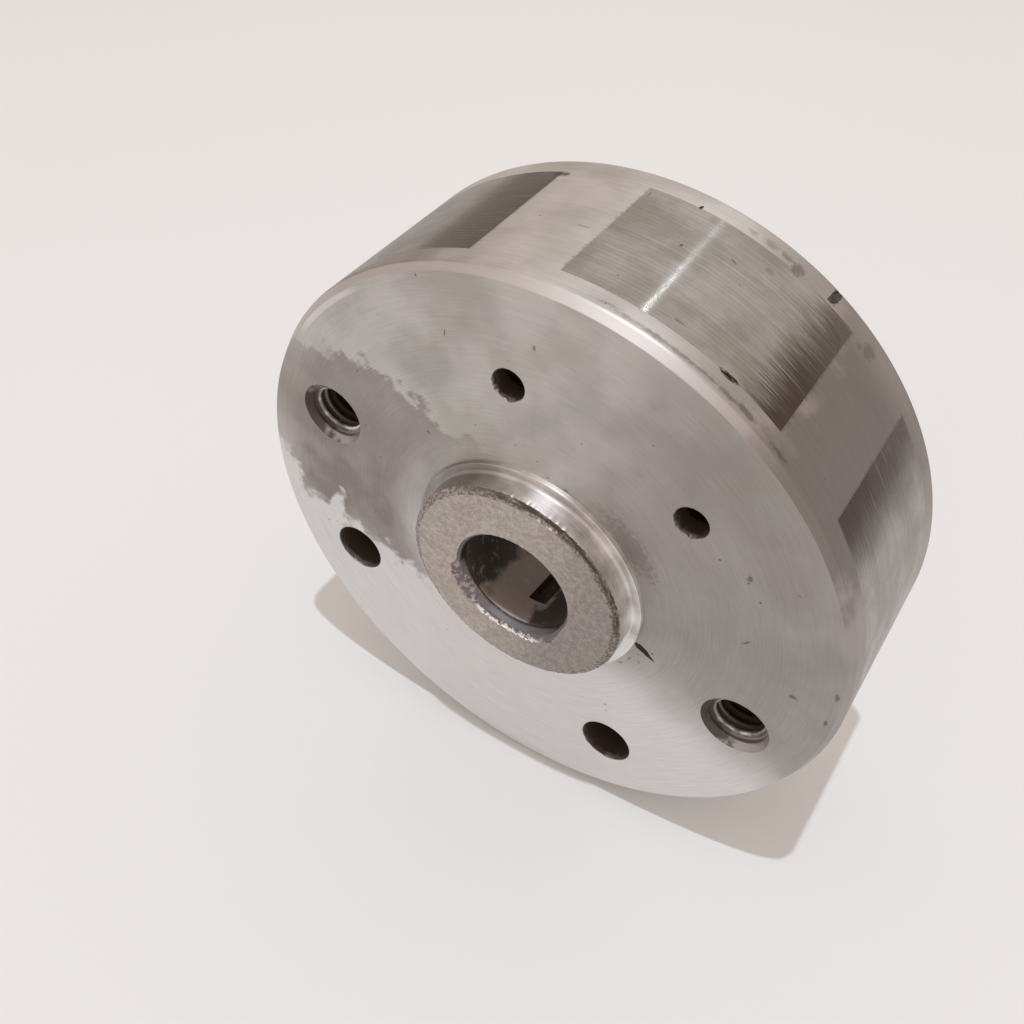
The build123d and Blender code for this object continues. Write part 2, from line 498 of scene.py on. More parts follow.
@dataclass
class SurfacePlace:
    """Where a point of the surface lies on the wheel, worked out inside a material.

    Attributes:
        graph: the material's nodes.
        wheel: the wheel's shared sizes.
        spot: the point, turned so that the centre pole points along +X, in millimetres.
        along_pole: how far it lies towards the centre pole.
        beside_pole: how far it lies beside that pole, towards the left one.
        height: its height above the rear face.
        radius: its distance from the axis.
        angle: its angle round the wheel, from -180 to 180.
        full_angle: the same angle from 0 to 360.
    """

    graph: Graph
    wheel: Wheel
    spot: Socket = field(init=False)
    along_pole: Socket = field(init=False)
    beside_pole: Socket = field(init=False)
    height: Socket = field(init=False)
    radius: Socket = field(init=False)
    angle: Socket = field(init=False)
    full_angle: Socket = field(init=False)

    def __post_init__(self) -> None:
        """Work out the coordinates that the finishes read."""
        add = self.graph.add
        spot = add("TexCoord", out="Object")
        turned = add("VectorRotate", {"Vector": spot, "Angle": math.radians(self.wheel.stance)},
                     rotation_type="Y_AXIS")
        self.spot = add("VectorMath", {0: turned, "Scale": 1 / MM}, operation="SCALE")
        self.along_pole, depth, self.beside_pole = add("SeparateXYZ", {0: self.spot}).node.outputs
        self.height = add("Math", {0: depth, 1: -1.0}, operation="MULTIPLY")
        flat = add("VectorMath", {0: self.spot, 1: (1.0, 0.0, 1.0)}, operation="MULTIPLY")
        self.radius = add("VectorMath", {0: flat}, out="Value", operation="LENGTH")
        turn = add("Math", {0: self.beside_pole, 1: self.along_pole}, operation="ARCTAN2")
        self.angle = add("Math", {0: turn, 1: 180 / math.pi}, operation="MULTIPLY")
        self.full_angle = add("Math", {0: self.angle, 1: 360.0, 2: 0.0}, operation="WRAP")

    def grooves(self, pitch: float, length: float, detail: float = 2.0) -> Socket:
        """Fine lines that run round the wheel, as a cutting tool leaves them.

        Args:
            pitch: distance from one line to the next.
            length: how long a line runs before it fades.
            detail: how many finer octaves are added.

        Returns:
            A value from 0 to 1.
        """
        add = self.graph.add
        stretch = add("VectorMath", {0: self.spot, 1: (1 / length, 1 / pitch, 1 / length)},
                      operation="MULTIPLY")
        feed = add("Math", {0: self.radius, 1: 1 / pitch}, operation="MULTIPLY")
        return add("TexNoise", {"Vector": stretch, "W": feed, "Scale": 1.0, "Detail": detail},
                   noise_dimensions="4D")

    def patches(self, size: float, detail: float = 3.0, shift: float = 0.0) -> Socket:
        """Soft cloudy patches.

        Args:
            size: how large the patches are.
            detail: how many finer octaves are added.
            shift: moves the pattern, so that two of them differ.

        Returns:
            A value from 0 to 1.
        """
        moved = self.graph.add("VectorMath", {0: self.spot, 1: (shift, shift, shift)}, operation="ADD")
        return self.graph.add("TexNoise", {"Vector": moved, "Scale": 1 / size, "Detail": detail})

    def window(self, value: Socket, low: float, high: float, soft: float, strength: float = 1.0) -> Socket:
        """A mask that is on between two values and off outside them.

        Args:
            value: the value that it reads.
            low: where it comes on.
            high: where it goes off.
            soft: half the width of its soft ends.
            strength: its value where it is on.

        Returns:
            The mask.
        """
        add = self.graph.add
        rise = add("MapRange", {0: value, 1: low - soft, 2: low + soft, 4: strength}, **SOFT)
        fall = add("MapRange", {0: value, 1: high + soft, 2: high - soft}, **SOFT)
        return self.where_all(rise, fall)

    def where_all(self, *masks: Socket) -> Socket:
        """A mask that is on only where every one of several masks is.

        Args:
            *masks: the masks.

        Returns:
            Their product.
        """
        shared = masks[0]
        for mask in masks[1:]:
            shared = self.graph.add("Math", {0: shared, 1: mask}, operation="MULTIPLY")
        return shared

    def covered(self, tone: Socket | str, *layers: tuple[Socket, Socket | str]) -> Socket:
        """A colour under layers of other colours, each a socket or a hex value.

        Args:
            tone: the colour at the bottom.
            *layers: the mask and the colour of each layer, from the bottom up.

        Returns:
            The colour that is seen.
        """
        seen = linear(tone) if isinstance(tone, str) else tone
        for mask, layer in layers:
            upper = linear(layer) if isinstance(layer, str) else layer
            seen = self.graph.add("Mix", {0: mask, 6: seen, 7: upper}, out=2, data_type="RGBA")
        return seen

    def brightened(self, tone: Socket | tuple[float, float, float], level: Socket) -> Socket:
        """A colour made lighter or darker.

        Args:
            tone: the colour.
            level: what it is multiplied by.

        Returns:
            The colour that is seen.
        """
        return self.graph.add("VectorMath", {0: tone, "Scale": level}, operation="SCALE")

    def marks(self, marks: Sequence[Mark]) -> Socket:
        """A mask of uneven marks.

        Args:
            marks: the marks.

        Returns:
            How dark the marks are, from 0 to 1.
        """
        add = self.graph.add
        uneven = self.patches(0.45, shift=13.0)
        total: Socket | float = 0.0
        for mark in marks:
            angle = math.radians(mark.angle)
            across, up = mark.radius * math.cos(angle), mark.radius * math.sin(angle)
            centre = (across, mark.behind - self.wheel.width, up)
            local = add("Mapping", {
                "Vector": self.spot, "Location": centre, "Scale": (mark.outward, mark.axial, mark.around),
                "Rotation": (math.radians(mark.lean), -math.radians(mark.angle + mark.turn), 0.0),
            }, vector_type="TEXTURE")
            reach = add("VectorMath", {0: local}, out="Value", operation="LENGTH")
            reach = add("Math", {0: uneven, 1: 1.8, 2: reach}, operation="MULTIPLY_ADD")
            shown = add("MapRange", {0: reach, 1: 2.05, 2: 1.25, 4: mark.strength}, **SOFT)
            total = add("Math", {0: shown, 1: total}, operation="MAXIMUM")
        return total

    def bevel(self) -> Socket:
        """The bevel between the front face and the rim, which gets a painted sheen, most on its upper part.

        Returns:
            Up to 0.8 on the bevel and 0 elsewhere.
        """
        add = self.graph.add
        edge = self.window(self.radius, self.wheel.radius - 0.52, self.wheel.radius - 0.1, 0.05, 0.8)
        face = self.wheel.width
        front = add("MapRange", {0: self.height, 1: face - 1.3, 2: face - 1.1})
        upper = add("MapRange", {0: self.angle, 1: -26.0, 2: -4.0, 3: 0.1, 4: 1.0}, **SOFT)
        return self.where_all(edge, front, upper)

    def from_hole(self, circle: float) -> tuple[Socket, Socket]:
        """Where a point lies beside the nearer of two holes that stand opposite each other.

        Args:
            circle: how far the holes are from the wheel's axis.

        Returns:
            The distance from the hole's axis, and how far the point lies on the hole's left.
        """
        add = self.graph.add
        side = add("Math", {0: self.beside_pole}, operation="SIGN")
        centre = add("Math", {0: side, 1: circle}, operation="MULTIPLY")
        aside = add("Math", {0: self.beside_pole, 1: centre}, operation="SUBTRACT")
        across = add("CombineXYZ", {0: self.along_pole, 1: aside})
        reach = add("VectorMath", {0: across}, out="Value", operation="LENGTH")
        leftward = (-0.6, 0.8, 0.0)
        left = add("VectorMath", {0: across, 1: leftward}, out="Value", operation="DOT_PRODUCT")
        return reach, left

    def scallops(self, feed: float, slope: float) -> Socket:
        """The normal of a rim whose tool left a fine row of hollow grooves round it.

        Args:
            feed: distance from one groove to the next.
            slope: how steep a groove is at its edges.

        Returns:
            The normal.
        """
        add = self.graph.add
        count = add("Math", {0: self.height, 1: 1 / feed}, operation="MULTIPLY")
        share = add("Math", {0: count}, operation="FRACT")
        lean = add("MapRange", {0: share, 3: -slope, 4: slope})
        tilt = add("CombineXYZ", {1: lean})
        facing = add("NewGeometry", out="Normal")
        leaning = add("VectorMath", {0: facing, 1: tilt}, operation="ADD")
        return add("VectorMath", {0: leaning}, operation="NORMALIZE")

    def turning_direction(self) -> Socket:
        """The way across the turning marks, which spreads the reflection that way.

        Returns:
            The direction, lying in the surface.
        """
        add = self.graph.add
        spot = add("TexCoord", out="Object")
        round_wheel = add("VectorMath", {0: spot, 1: (0.0, 1.0, 0.0)}, operation="CROSS_PRODUCT")
        facing = add("NewGeometry", out="Normal")
        across = add("VectorMath", {0: facing, 1: round_wheel}, operation="CROSS_PRODUCT")
        return add("VectorMath", {0: across}, operation="NORMALIZE")


@dataclass(frozen=True)
class Finish:
    """A surface finish, which fills a material of its own."""

    name: str = "plain"

    def build(self, wheel: Wheel) -> Material:
        """Build the material.

        Args:
            wheel: the wheel's shared sizes.

        Returns:
            The finished material.
        """
        material = bpy.data.materials.new(self.name)
        material.use_nodes = True
        material.node_tree.nodes.clear()
        self.paint(SurfacePlace(Graph(material.node_tree), wheel))
        return material

    def paint(self, spot: SurfacePlace) -> None:
        """Fill the material's nodes."""
        raise NotImplementedError

    def lay(
        self, spot: SurfacePlace, tone: Socket, rough: Socket | float, relief: Socket, depth: float,
        strength: float, bare: Socket | float = 1.0, spread: float = 0.0,
    ) -> None:
        """End the material in one shader.

        Args:
            spot: the surface's coordinates.
            tone: its colour.
            rough: how rough it is.
            relief: the pattern that stands out of it.
            depth: how far that stands out.
            strength: how much of that the light shows.
            bare: how much of the metal is bare, 0 where dirt hides it.
            spread: how far turning marks spread the reflection across them.
        """
        add = spot.graph.add
        normal = add("Bump", {"Strength": strength, "Distance": depth * MM, "Height": relief})
        inputs = {"Base Color": tone, "Metallic": bare, "Roughness": rough, "Normal": normal}
        if spread:
            inputs |= {"Anisotropic": spread, "Tangent": spot.turning_direction()}
        add("OutputMaterial", {"Surface": add("BsdfPrincipled", inputs)})


@dataclass(frozen=True)
class TurnedAluminium(Finish):
    """Cast aluminium-silicon alloy, turned with a fine feed and then handled and stored for years.

    The eye gets fine rings, a broad soft sheen across them, grey-brown clouds and tiny casting pits, under
    painted light and shade that makes the metal paler below, browner at the upper right and paler on the
    bevel.
    The real feed is finer than the picture can show, so the rings are drawn a little coarser.
    """

    name: str = "turned_cast_aluminium"
    middle: str = "#c8c4c1"
    # pale and brown also serve as painted light and shade: pale below, brown at the upper right.
    pale: str = "#e2e0e0"
    dull: str = "#aba6a2"
    brown: str = "#958e8b"
    olive: str = "#b0aea2"
    # The colour of a painted sheen on the bevel.
    scraped: str = "#c9c2be"
    # The colour of the pits and marks, and of the painted shadow beside the boss.
    grime: str = "#4b403a"
    roughness: float = 0.52
    bevel_roughness: float = 0.66
    ring_pitch: float = 0.14
    ring_length: float = 3.5
    cloud_size: float = 7.0
    pit_spacing: float = 1.5

    def paint(self, spot: SurfacePlace) -> None:
        """Fill the material's nodes.

        Args:
            spot: the surface's coordinates.
        """
        add = spot.graph.add
        rings = spot.grooves(self.ring_pitch, self.ring_length)
        pits = self.pits(spot)
        tone = spot.covered(self.stained(spot, rings, self.clouds(spot)), (pits, self.grime))
        streaks = add("MapRange", {0: rings, 1: 0.3, 2: 0.7, 3: 0.94, 4: 1.05})
        tone = spot.brightened(tone, streaks)
        # Painted sheen: the bevel gets a paler colour, strongest on its upper part, and more roughness.
        bevel = spot.bevel()
        tone = spot.covered(tone, (bevel, self.scraped))
        rough = add("MapRange", {0: bevel, 3: self.roughness, 4: self.bevel_roughness})
        lines = add("Bump", {"Strength": 0.18, "Distance": 0.02 * MM, "Height": rings})
        sunk = add("Math", {0: pits, 1: -1.0}, operation="MULTIPLY")
        relief = add("Bump", {"Strength": 0.5, "Distance": 0.05 * MM, "Height": sunk, "Normal": lines})
        shader = add("BsdfPrincipled", {
            "Base Color": tone, "Metallic": 1.0, "Roughness": rough, "Anisotropic": 0.45,
            "Tangent": spot.turning_direction(), "Normal": relief,
        })
        add("OutputMaterial", {"Surface": shader})

    def stained(self, spot: SurfacePlace, rings: Socket, tone: Socket) -> Socket:
        """The metal's colour with the stains of its surface; plain metal has none."""
        return tone

    def clouds(self, spot: SurfacePlace) -> Socket:
        """Dull and olive clouds, with painted light and shade: paler below and browner at the upper right.

        Args:
            spot: the surface's coordinates.

        Returns:
            The colour.
        """
        add = spot.graph.add
        cloud = add("MapRange", {0: spot.patches(self.cloud_size), 1: 0.38, 2: 0.68, 4: 0.7}, **SOFT)
        olive = spot.patches(self.cloud_size * 1.3, shift=31.0)
        olive = add("MapRange", {0: olive, 1: 0.5, 2: 0.72, 4: 0.6}, **SOFT)
        # Painted light and shade: browner at the upper right and paler below, as the light falls on the
        # wheel.
        right = add("MapRange", {0: spot.beside_pole, 1: 5.0, 2: -8.0, 4: 0.62}, **SOFT)
        upper = add("MapRange", {0: spot.along_pole, 1: -8.0, 2: 4.0}, **SOFT)
        pale = add("MapRange", {0: spot.along_pole, 1: 0.5, 2: -9.0, 4: 0.95}, **SOFT)
        return spot.covered(
            self.middle, (cloud, self.dull), (olive, self.olive), (spot.where_all(right, upper), self.brown),
            (pale, self.pale))

    def pits(self, spot: SurfacePlace) -> Socket:
        """Tiny dark casting pits, scattered thinly.

        Args:
            spot: the surface's coordinates.

        Returns:
            1 in a pit and 0 elsewhere.
        """
        add = spot.graph.add
        cells = add("TexVoronoi", {"Vector": spot.spot, "Scale": 1 / self.pit_spacing}, out="Distance")
        holes = add("MapRange", {0: cells, 1: 0.1, 2: 0.04, 4: 0.8}, **SOFT)
        chance = add("MapRange", {0: spot.patches(4.0, shift=53.0), 1: 0.56, 2: 0.64}, **SOFT)
        return spot.where_all(holes, chance)


@dataclass(frozen=True)
class TurnedFace(TurnedAluminium):
    """The front face of the casting, with its tide mark, handling marks, a painted shadow beside the boss and
    a painted highlight on one stretch of its edge.
    """

    name: str = "turned_cast_aluminium_face"
    # The colour of a painted highlight at the face's edge.
    rubbed: str = "#efeae6"
    tide: str = "#958c87"
    tide_low: float = -13.8
    tide_high: float = 9.8
    tide_inner: float = 6.0
    notch: float = 21.2

    def stained(self, spot: SurfacePlace, rings: Socket, tone: Socket) -> Socket:
        """The metal's colour with the stains of the face, a painted shadow beside the boss and a painted
        highlight at its edge.

        Args:
            spot: the surface's coordinates.
            rings: the turning marks.
            tone: the clean metal's colour.

        Returns:
            The stained colour.
        """
        # Painted highlight: a thin pale crescent along the outer edge of the face, from 57 to 74 degrees.
        edge = spot.window(spot.radius, 30.75, 31.3, 0.12, 0.55)
        edge = spot.where_all(edge, spot.window(spot.angle, 57.0, 74.0, 3.0))
        return spot.covered(
            tone, (self.tide_mark(spot, rings), self.tide), (spot.marks(FACE_MARKS), self.grime),
            (edge, self.rubbed))

    def tide_mark(self, spot: SurfacePlace, rings: Socket) -> Socket:
        """The dark band across the left of the front face, with edges that fray along the rings.

        Args:
            spot: the surface's coordinates.
            rings: the turning marks, along which the edge frays.

        Returns:
            How dark the mark is, from 0 to 1.
        """
        add = spot.graph.add
        fray = add("MapRange", {0: rings, 1: 0.3, 2: 0.7, 3: -0.35, 4: 0.35})
        wander = spot.patches(1.6, detail=5.0, shift=7.0)
        wander = add("MapRange", {0: wander, 1: 0.3, 2: 0.7, 3: -1.6, 4: 1.6})
        edge = add("Math", {0: spot.along_pole, 1: fray}, operation="ADD")
        edge = add("Math", {0: edge, 1: wander}, operation="ADD")
        corner = add("MapRange", {0: spot.beside_pole, 1: 22.0, 2: 31.0, 4: 3.5}, **SOFT)
        high_edge = add("Math", {0: edge, 1: corner}, operation="ADD")
        above = add("MapRange", {0: high_edge, 1: self.tide_high + 0.7, 2: self.tide_high - 0.7}, **SOFT)
        notch = spot.window(spot.beside_pole, self.notch - 0.7, self.notch + 0.7, 0.7, 3.0)
        rim_end = add("MapRange", {0: spot.beside_pole, 1: 25.0, 2: 29.5, 4: 4.5}, **SOFT)
        raised = add("Math", {0: notch, 1: rim_end}, operation="ADD")
        low_edge = add("Math", {0: edge, 1: raised}, operation="SUBTRACT")
        below = add("MapRange", {0: low_edge, 1: self.tide_low - 0.9, 2: self.tide_low + 1.1}, **SOFT)
        left = add("MapRange", {0: spot.beside_pole, 1: self.tide_inner, 2: self.tide_inner + 4.0}, **SOFT)
        face = spot.wheel.width
        front = add("MapRange", {0: spot.height, 1: face - 0.9, 2: face - 0.3}, **SOFT)
        fade = add("MapRange", {0: spot.along_pole, 1: -6.0, 2: 5.0, 3: 1.0, 4: 0.76})
        cloud = add("MapRange", {0: spot.patches(4.0, shift=19.0), 1: 0.38, 2: 0.62, 3: 0.82, 4: 1.04})
        hub = add("MapRange", {0: spot.radius, 1: 13.0, 2: 17.5, 3: 0.3, 4: 1.0}, **SOFT)
        outer = add("MapRange", {0: spot.radius, 1: 27.0, 2: 31.0, 3: 1.0, 4: 0.6}, **SOFT)
        return spot.where_all(above, below, left, front, fade, cloud, hub, outer)


@dataclass(frozen=True)
class TurnedRim(TurnedAluminium):
    """The rim of the casting, with smears on its bands and dark joints beside the pole shoes."""

    name: str = "turned_cast_aluminium_rim"
    # The colour of that darker brown-grey.
    film: str = "#787170"

    def stained(self, spot: SurfacePlace, rings: Socket, tone: Socket) -> Socket:
        """The metal's colour with the stains of the rim.

        Args:
            spot: the surface's coordinates.
            rings: the turning marks.
            tone: the clean metal's colour.

        Returns:
            The stained colour.
        """
        add = spot.graph.add
        marks = add("Math", {0: spot.marks(RIM_MARKS), 1: self.joint_stain(spot, rings)}, operation="MAXIMUM")
        return spot.covered(tone, (self.old_film(spot), self.film), (marks, self.grime))

    def old_film(self, spot: SurfacePlace) -> Socket:
        """Darker brown-grey between the centre and right poles, and on the front edge near the left pole.

        Args:
            spot: the surface's coordinates.

        Returns:
            How dark it is, from 0 to 1.
        """
        add = spot.graph.add
        wander = add("MapRange", {0: spot.patches(3.0, shift=29.0), 1: 0.3, 2: 0.7, 3: -4.0, 4: 4.0})
        turn = add("Math", {0: spot.angle, 1: wander}, operation="ADD")
        back = add("MapRange", {0: spot.height, 1: 1.0, 2: 5.0, 3: 0.4, 4: 1.0}, **SOFT)
        right = spot.where_all(spot.window(turn, -46.0, -17.5, 4.0, 0.72), back)
        front = add("MapRange", {0: spot.height, 1: 14.0, 2: 18.0}, **SOFT)
        left = spot.where_all(spot.window(turn, 38.0, 60.0, 8.0, 0.6), front)
        return add("Math", {0: left, 1: right}, operation="MAXIMUM")

    def joint_stain(self, spot: SurfacePlace, rings: Socket) -> Socket:
        """The thin dark line where the aluminium meets the sides of the pole shoes.

        Args:
            spot: the surface's coordinates.
            rings: the turning marks, along which the line frays.

        Returns:
            How dark the line is, from 0 to 1.
        """
        add = spot.graph.add
        half_pitch = Pole.LEFT.value / 2
        apart = add("Math", {0: spot.angle, 1: half_pitch, 2: -half_pitch}, operation="WRAP")
        apart = add("Math", {0: apart}, operation="ABSOLUTE")
        fray = add("MapRange", {0: rings, 1: 0.35, 2: 0.65, 3: -0.22, 4: 0.22})
        apart = add("Math", {0: apart, 1: fray}, operation="ADD")
        line = spot.window(apart, 18.8, 19.35, 0.3, 0.4)
        near = spot.window(spot.angle, -78.0, 78.0, 1.0)
        stack = spot.window(spot.height, 2.6, 17.5, 0.1)
        rim = add("MapRange", {0: spot.radius, 1: 31.5, 2: 31.8})
        return spot.where_all(line, near, stack, rim)


@dataclass(frozen=True)
class DrilledAluminium(Finish):
    """Drilled aluminium walls, which painted shade darkens deeper in.

    The eye gets a dull grey-brown metal at the very edge that sinks at once into a dark, matt brown: painted
    shade.
    """

    name: str = "drilled_aluminium_with_grime"
    bright: str = "#867e79"
    # The colour of the painted shade in the hole.
    grime: str = "#43332a"
    clean_depth: float = 0.1
    dark_depth: float = 0.8

    def paint(self, spot: SurfacePlace) -> None:
        """Fill the material's nodes.

        Args:
            spot: the surface's coordinates.
        """
        add = spot.graph.add
        face = spot.wheel.width
        # Painted shade: the wall darkens unevenly with depth, from clean_depth to dark_depth below the face.
        cloud = add("MapRange", {0: spot.patches(0.8), 1: 0.3, 2: 0.7, 3: -0.35, 4: 0.35})
        level = add("Math", {0: spot.height, 1: cloud}, operation="ADD")
        dirt_and_shade = add("MapRange", {0: level, 1: face - self.clean_depth, 2: face - self.dark_depth}, **SOFT)
        tone = spot.covered(self.bright, (dirt_and_shade, self.grime))
        bare = add("MapRange", {0: dirt_and_shade, 3: 1.0, 4: 0.1})
        rough = add("MapRange", {0: dirt_and_shade, 3: 0.5, 4: 0.8})
        self.lay(spot, tone, rough, spot.patches(0.35, detail=4.0), 0.03, 0.3, bare)


@dataclass(frozen=True)
class TappedAluminium(Finish):
    """A tapped and countersunk hole: screws have polished its crests, dark smears sit in its roots, and
    painted shade makes it near black deeper in.

    The eye gets a bright, thin curved line in the dark of the hole, and a countersink that is dark brown on
    the left, old oil with painted shade, and grey elsewhere.
    """

    name: str = "tapped_aluminium"
    crest: str = "#f0eeec"
    flank: str = "#8d8682"
    mouth: str = "#a19b98"
    # The colour of the dark smears and of the painted shade.
    grime: str = "#3a2c24"
    circle: float = 24.6
    crest_radius: float = 2.56
    flank_radius: float = 2.72
    wall_radius: float = 3.0

    def paint(self, spot: SurfacePlace) -> None:
        """Fill the material's nodes.

        Args:
            spot: the surface's coordinates.
        """
        add = spot.graph.add
        reach, left = spot.from_hole(self.circle)
        flank = add("MapRange", {0: reach, 1: self.crest_radius, 2: self.flank_radius}, **SOFT)
        cone = add("MapRange", {0: reach, 1: self.wall_radius - 0.04, 2: self.wall_radius + 0.06})
        # Old oil with painted shade: the countersink and wall darken towards the left of the hole.
        blots = add("MapRange", {0: spot.patches(0.9, detail=4.0), 1: 0.3, 2: 0.7, 3: -1.2, 4: 1.2})
        side = add("Math", {0: left, 1: blots}, operation="ADD")
        side = add("MapRange", {0: side, 1: 0.2, 2: 2.4, 4: 0.9}, **SOFT)
        reached = add("MapRange", {0: flank, 3: 0.75, 4: 1.0})
        face = spot.wheel.width
        # Painted shade: going near black from 1.5 to 2.5 mm below the face.
        deep = add("MapRange", {0: spot.height, 1: face - 1.5, 2: face - 2.5}, **SOFT)
        dirt_and_shade = add("Math", {0: spot.where_all(side, reached), 1: deep}, operation="MAXIMUM")
        smears = add("MapRange", {0: spot.patches(1.8, shift=9.0), 1: 0.42, 2: 0.58, 4: 0.75}, **SOFT)
        inner = add("MapRange", {0: reach, 1: self.wall_radius, 2: self.flank_radius}, **SOFT)
        dirt_and_shade = add("Math", {0: dirt_and_shade, 1: spot.where_all(smears, inner)}, operation="MAXIMUM")
        tone = spot.covered(self.crest, (flank, self.flank), (cone, self.mouth), (dirt_and_shade, self.grime))
        bare = add("MapRange", {0: dirt_and_shade, 3: 0.5, 4: 0.1})
        rough = add("MapRange", {0: dirt_and_shade, 3: 0.36, 4: 0.75})
        self.lay(spot, tone, rough, spot.patches(0.3), 0.03, 0.3, bare)


@dataclass(frozen=True)
class PackedGrime(Finish):
    """A matt, near-black and a little uneven fill: old oil and dust in the dents, painted shade in the key
    slot.
    """

    name: str = "packed_black_grime"
    dark: str = "#3d332c"
    dusty: str = "#5e534b"
    dust_size: float = 0.5
    roughness: float = 0.85

    def paint(self, spot: SurfacePlace) -> None:
        """Fill the material's nodes.

        Args:
            spot: the surface's coordinates.
        """
        add = spot.graph.add
        dust = spot.patches(self.dust_size, detail=4.0)
        share = add("MapRange", {0: dust, 1: 0.45, 2: 0.7}, **SOFT)
        tone = spot.covered(self.dark, (share, self.dusty))
        self.lay(spot, tone, self.roughness, dust, 0.04, 0.5, bare=0.0)


@dataclass(frozen=True)
class TurnedSteel(Finish):
    """Mild steel turned bright on the lathe.

    The eye gets a clean satin silver band with fine rings and a soft, wide highlight, and painted shade that
    darkens it from 34 to 130 degrees round the wheel.
    """

    name: str = "turned_mild_steel"
    # The colour of the painted shade.
    film: str = "#88807b"
    light: str = "#edebe8"
    dull: str = "#c0b9b6"
    roughness: float = 0.44
    ring_pitch: float = 0.12

    def paint(self, spot: SurfacePlace) -> None:
        """Fill the material's nodes.

        Args:
            spot: the surface's coordinates.
        """
        add = spot.graph.add
        rings = spot.grooves(self.ring_pitch, 3.5)
        cloud = add("MapRange", {0: spot.patches(3.5, shift=5.0), 1: 0.35, 2: 0.7}, **SOFT)
        # Painted shade: the side darker from 34 to 130 degrees round the wheel, away from the highlight.
        old = spot.window(spot.angle, 34.0, 130.0, 16.0, 0.8)
        tone = spot.covered(self.light, (cloud, self.dull), (old, self.film))
        streaks = add("MapRange", {0: rings, 1: 0.3, 2: 0.7, 3: 0.86, 4: 1.1})
        tone = spot.brightened(tone, streaks)
        self.lay(spot, tone, self.roughness, rings, 0.02, 0.2, spread=0.7)


@dataclass(frozen=True)
class WeatheredSteel(Finish):
    """Steel whose turned face has rusted lightly and been wiped clean again.

    The eye gets a matt, faintly speckled grey-brown with olive and pinkish patches and small bright grains.
    """

    name: str = "weathered_mild_steel"
    olive: str = "#bcb5ab"
    brown: str = "#bcb0a9"
    grey: str = "#9a928e"
    speck: str = "#857e79"
    grain: str = "#c9cac8"
    roughness: float = 0.5
    speck_size: float = 0.16
    speck_share: float = 0.6
    relief: float = 0.03

    def paint(self, spot: SurfacePlace) -> None:
        """Fill the material's nodes.

        Args:
            spot: the surface's coordinates.
        """
        add = spot.graph.add
        patch = add("MapRange", {0: spot.patches(3.0, shift=11.0), 1: 0.4, 2: 0.58}, **SOFT)
        right = add("MapRange", {0: spot.beside_pole, 1: 2.0, 2: -8.0, 4: 0.8}, **SOFT)
        tone = spot.covered(self.olive, (patch, self.brown), (right, self.grey))
        mottle = spot.patches(0.5, detail=5.0, shift=2.0)
        mottle = add("MapRange", {0: mottle, 1: 0.36, 2: 0.64, 3: 0.84, 4: 1.1})
        tone = spot.brightened(tone, mottle)
        fine = spot.patches(self.speck_size, detail=4.0)
        specks = add("MapRange", {0: fine, 1: 0.48, 2: 0.32, 4: self.speck_share}, **SOFT)
        grains = add("MapRange", {0: fine, 1: 0.6, 2: 0.74, 4: 0.7}, **SOFT)
        tone = spot.covered(tone, (specks, self.speck), (grains, self.grain))
        rough = add("MapRange", {0: grains, 3: self.roughness, 4: self.roughness - 0.15})
        self.lay(spot, tone, rough, fine, self.relief, 0.45)


@dataclass(frozen=True)
class RoughBevel(Finish):
    """The coarse bevel round the boss, torn by the tool and darkened by rust and painted shade, with painted
    glints.

    The eye gets a broken dark line along its outer edge from -85 to 40 degrees, rust with painted shade, and
    painted glints on the crest at the upper right.
    """

    name: str = "torn_mild_steel_bevel"
    worn: str = "#b3aca6"
    pitted: str = "#857c75"
    # rust also carries the painted shade on the shade side.
    rust: str = "#564d46"
    glint: str = "#eceae8"
    grain: float = 0.3
    dark_from: float = 10.85
    dark_to: float = 11.2

    def paint(self, spot: SurfacePlace) -> None:
        """Fill the material's nodes.

        Args:
            spot: the surface's coordinates.
        """
        add = spot.graph.add
        torn = spot.grooves(self.grain, 1.8, detail=4.0)
        # Painted shade: with the rust it darkens the outer part of the bevel from -85 to 40 degrees.
        shade_side = spot.window(spot.angle, -85.0, 40.0, 25.0, 0.95)
        outer = add("MapRange", {0: spot.radius, 1: self.dark_from, 2: self.dark_to, 3: 0.25, 4: 1.0}, **SOFT)
        rust = add("MapRange", {0: torn, 1: 0.66, 2: 0.42, 3: 0.2, 4: 1.0}, **SOFT)
        rust = spot.where_all(rust, shade_side, outer)
        speckle = add("MapRange", {0: spot.patches(0.25, detail=4.0), 1: 0.42, 2: 0.6}, **SOFT)
        crest = add("MapRange", {0: spot.radius, 1: self.dark_to, 2: self.dark_from}, **SOFT)
        # Painted glints: bright patches on the crest between -9 and 8 degrees, where the lamp is reflected.
        glint_angles = spot.window(spot.angle, -9.0, 8.0, 7.0)
        glints = add("MapRange", {0: spot.patches(0.4, shift=3.0), 1: 0.5, 2: 0.58}, **SOFT)
        glints = spot.where_all(glints, crest, glint_angles)
        tone = spot.covered(self.pitted, (speckle, self.worn), (rust, self.rust), (glints, self.glint))
        rough = add("MapRange", {0: glints, 3: 0.6, 4: 0.3})
        self.lay(spot, tone, rough, torn, 0.08, 0.6)


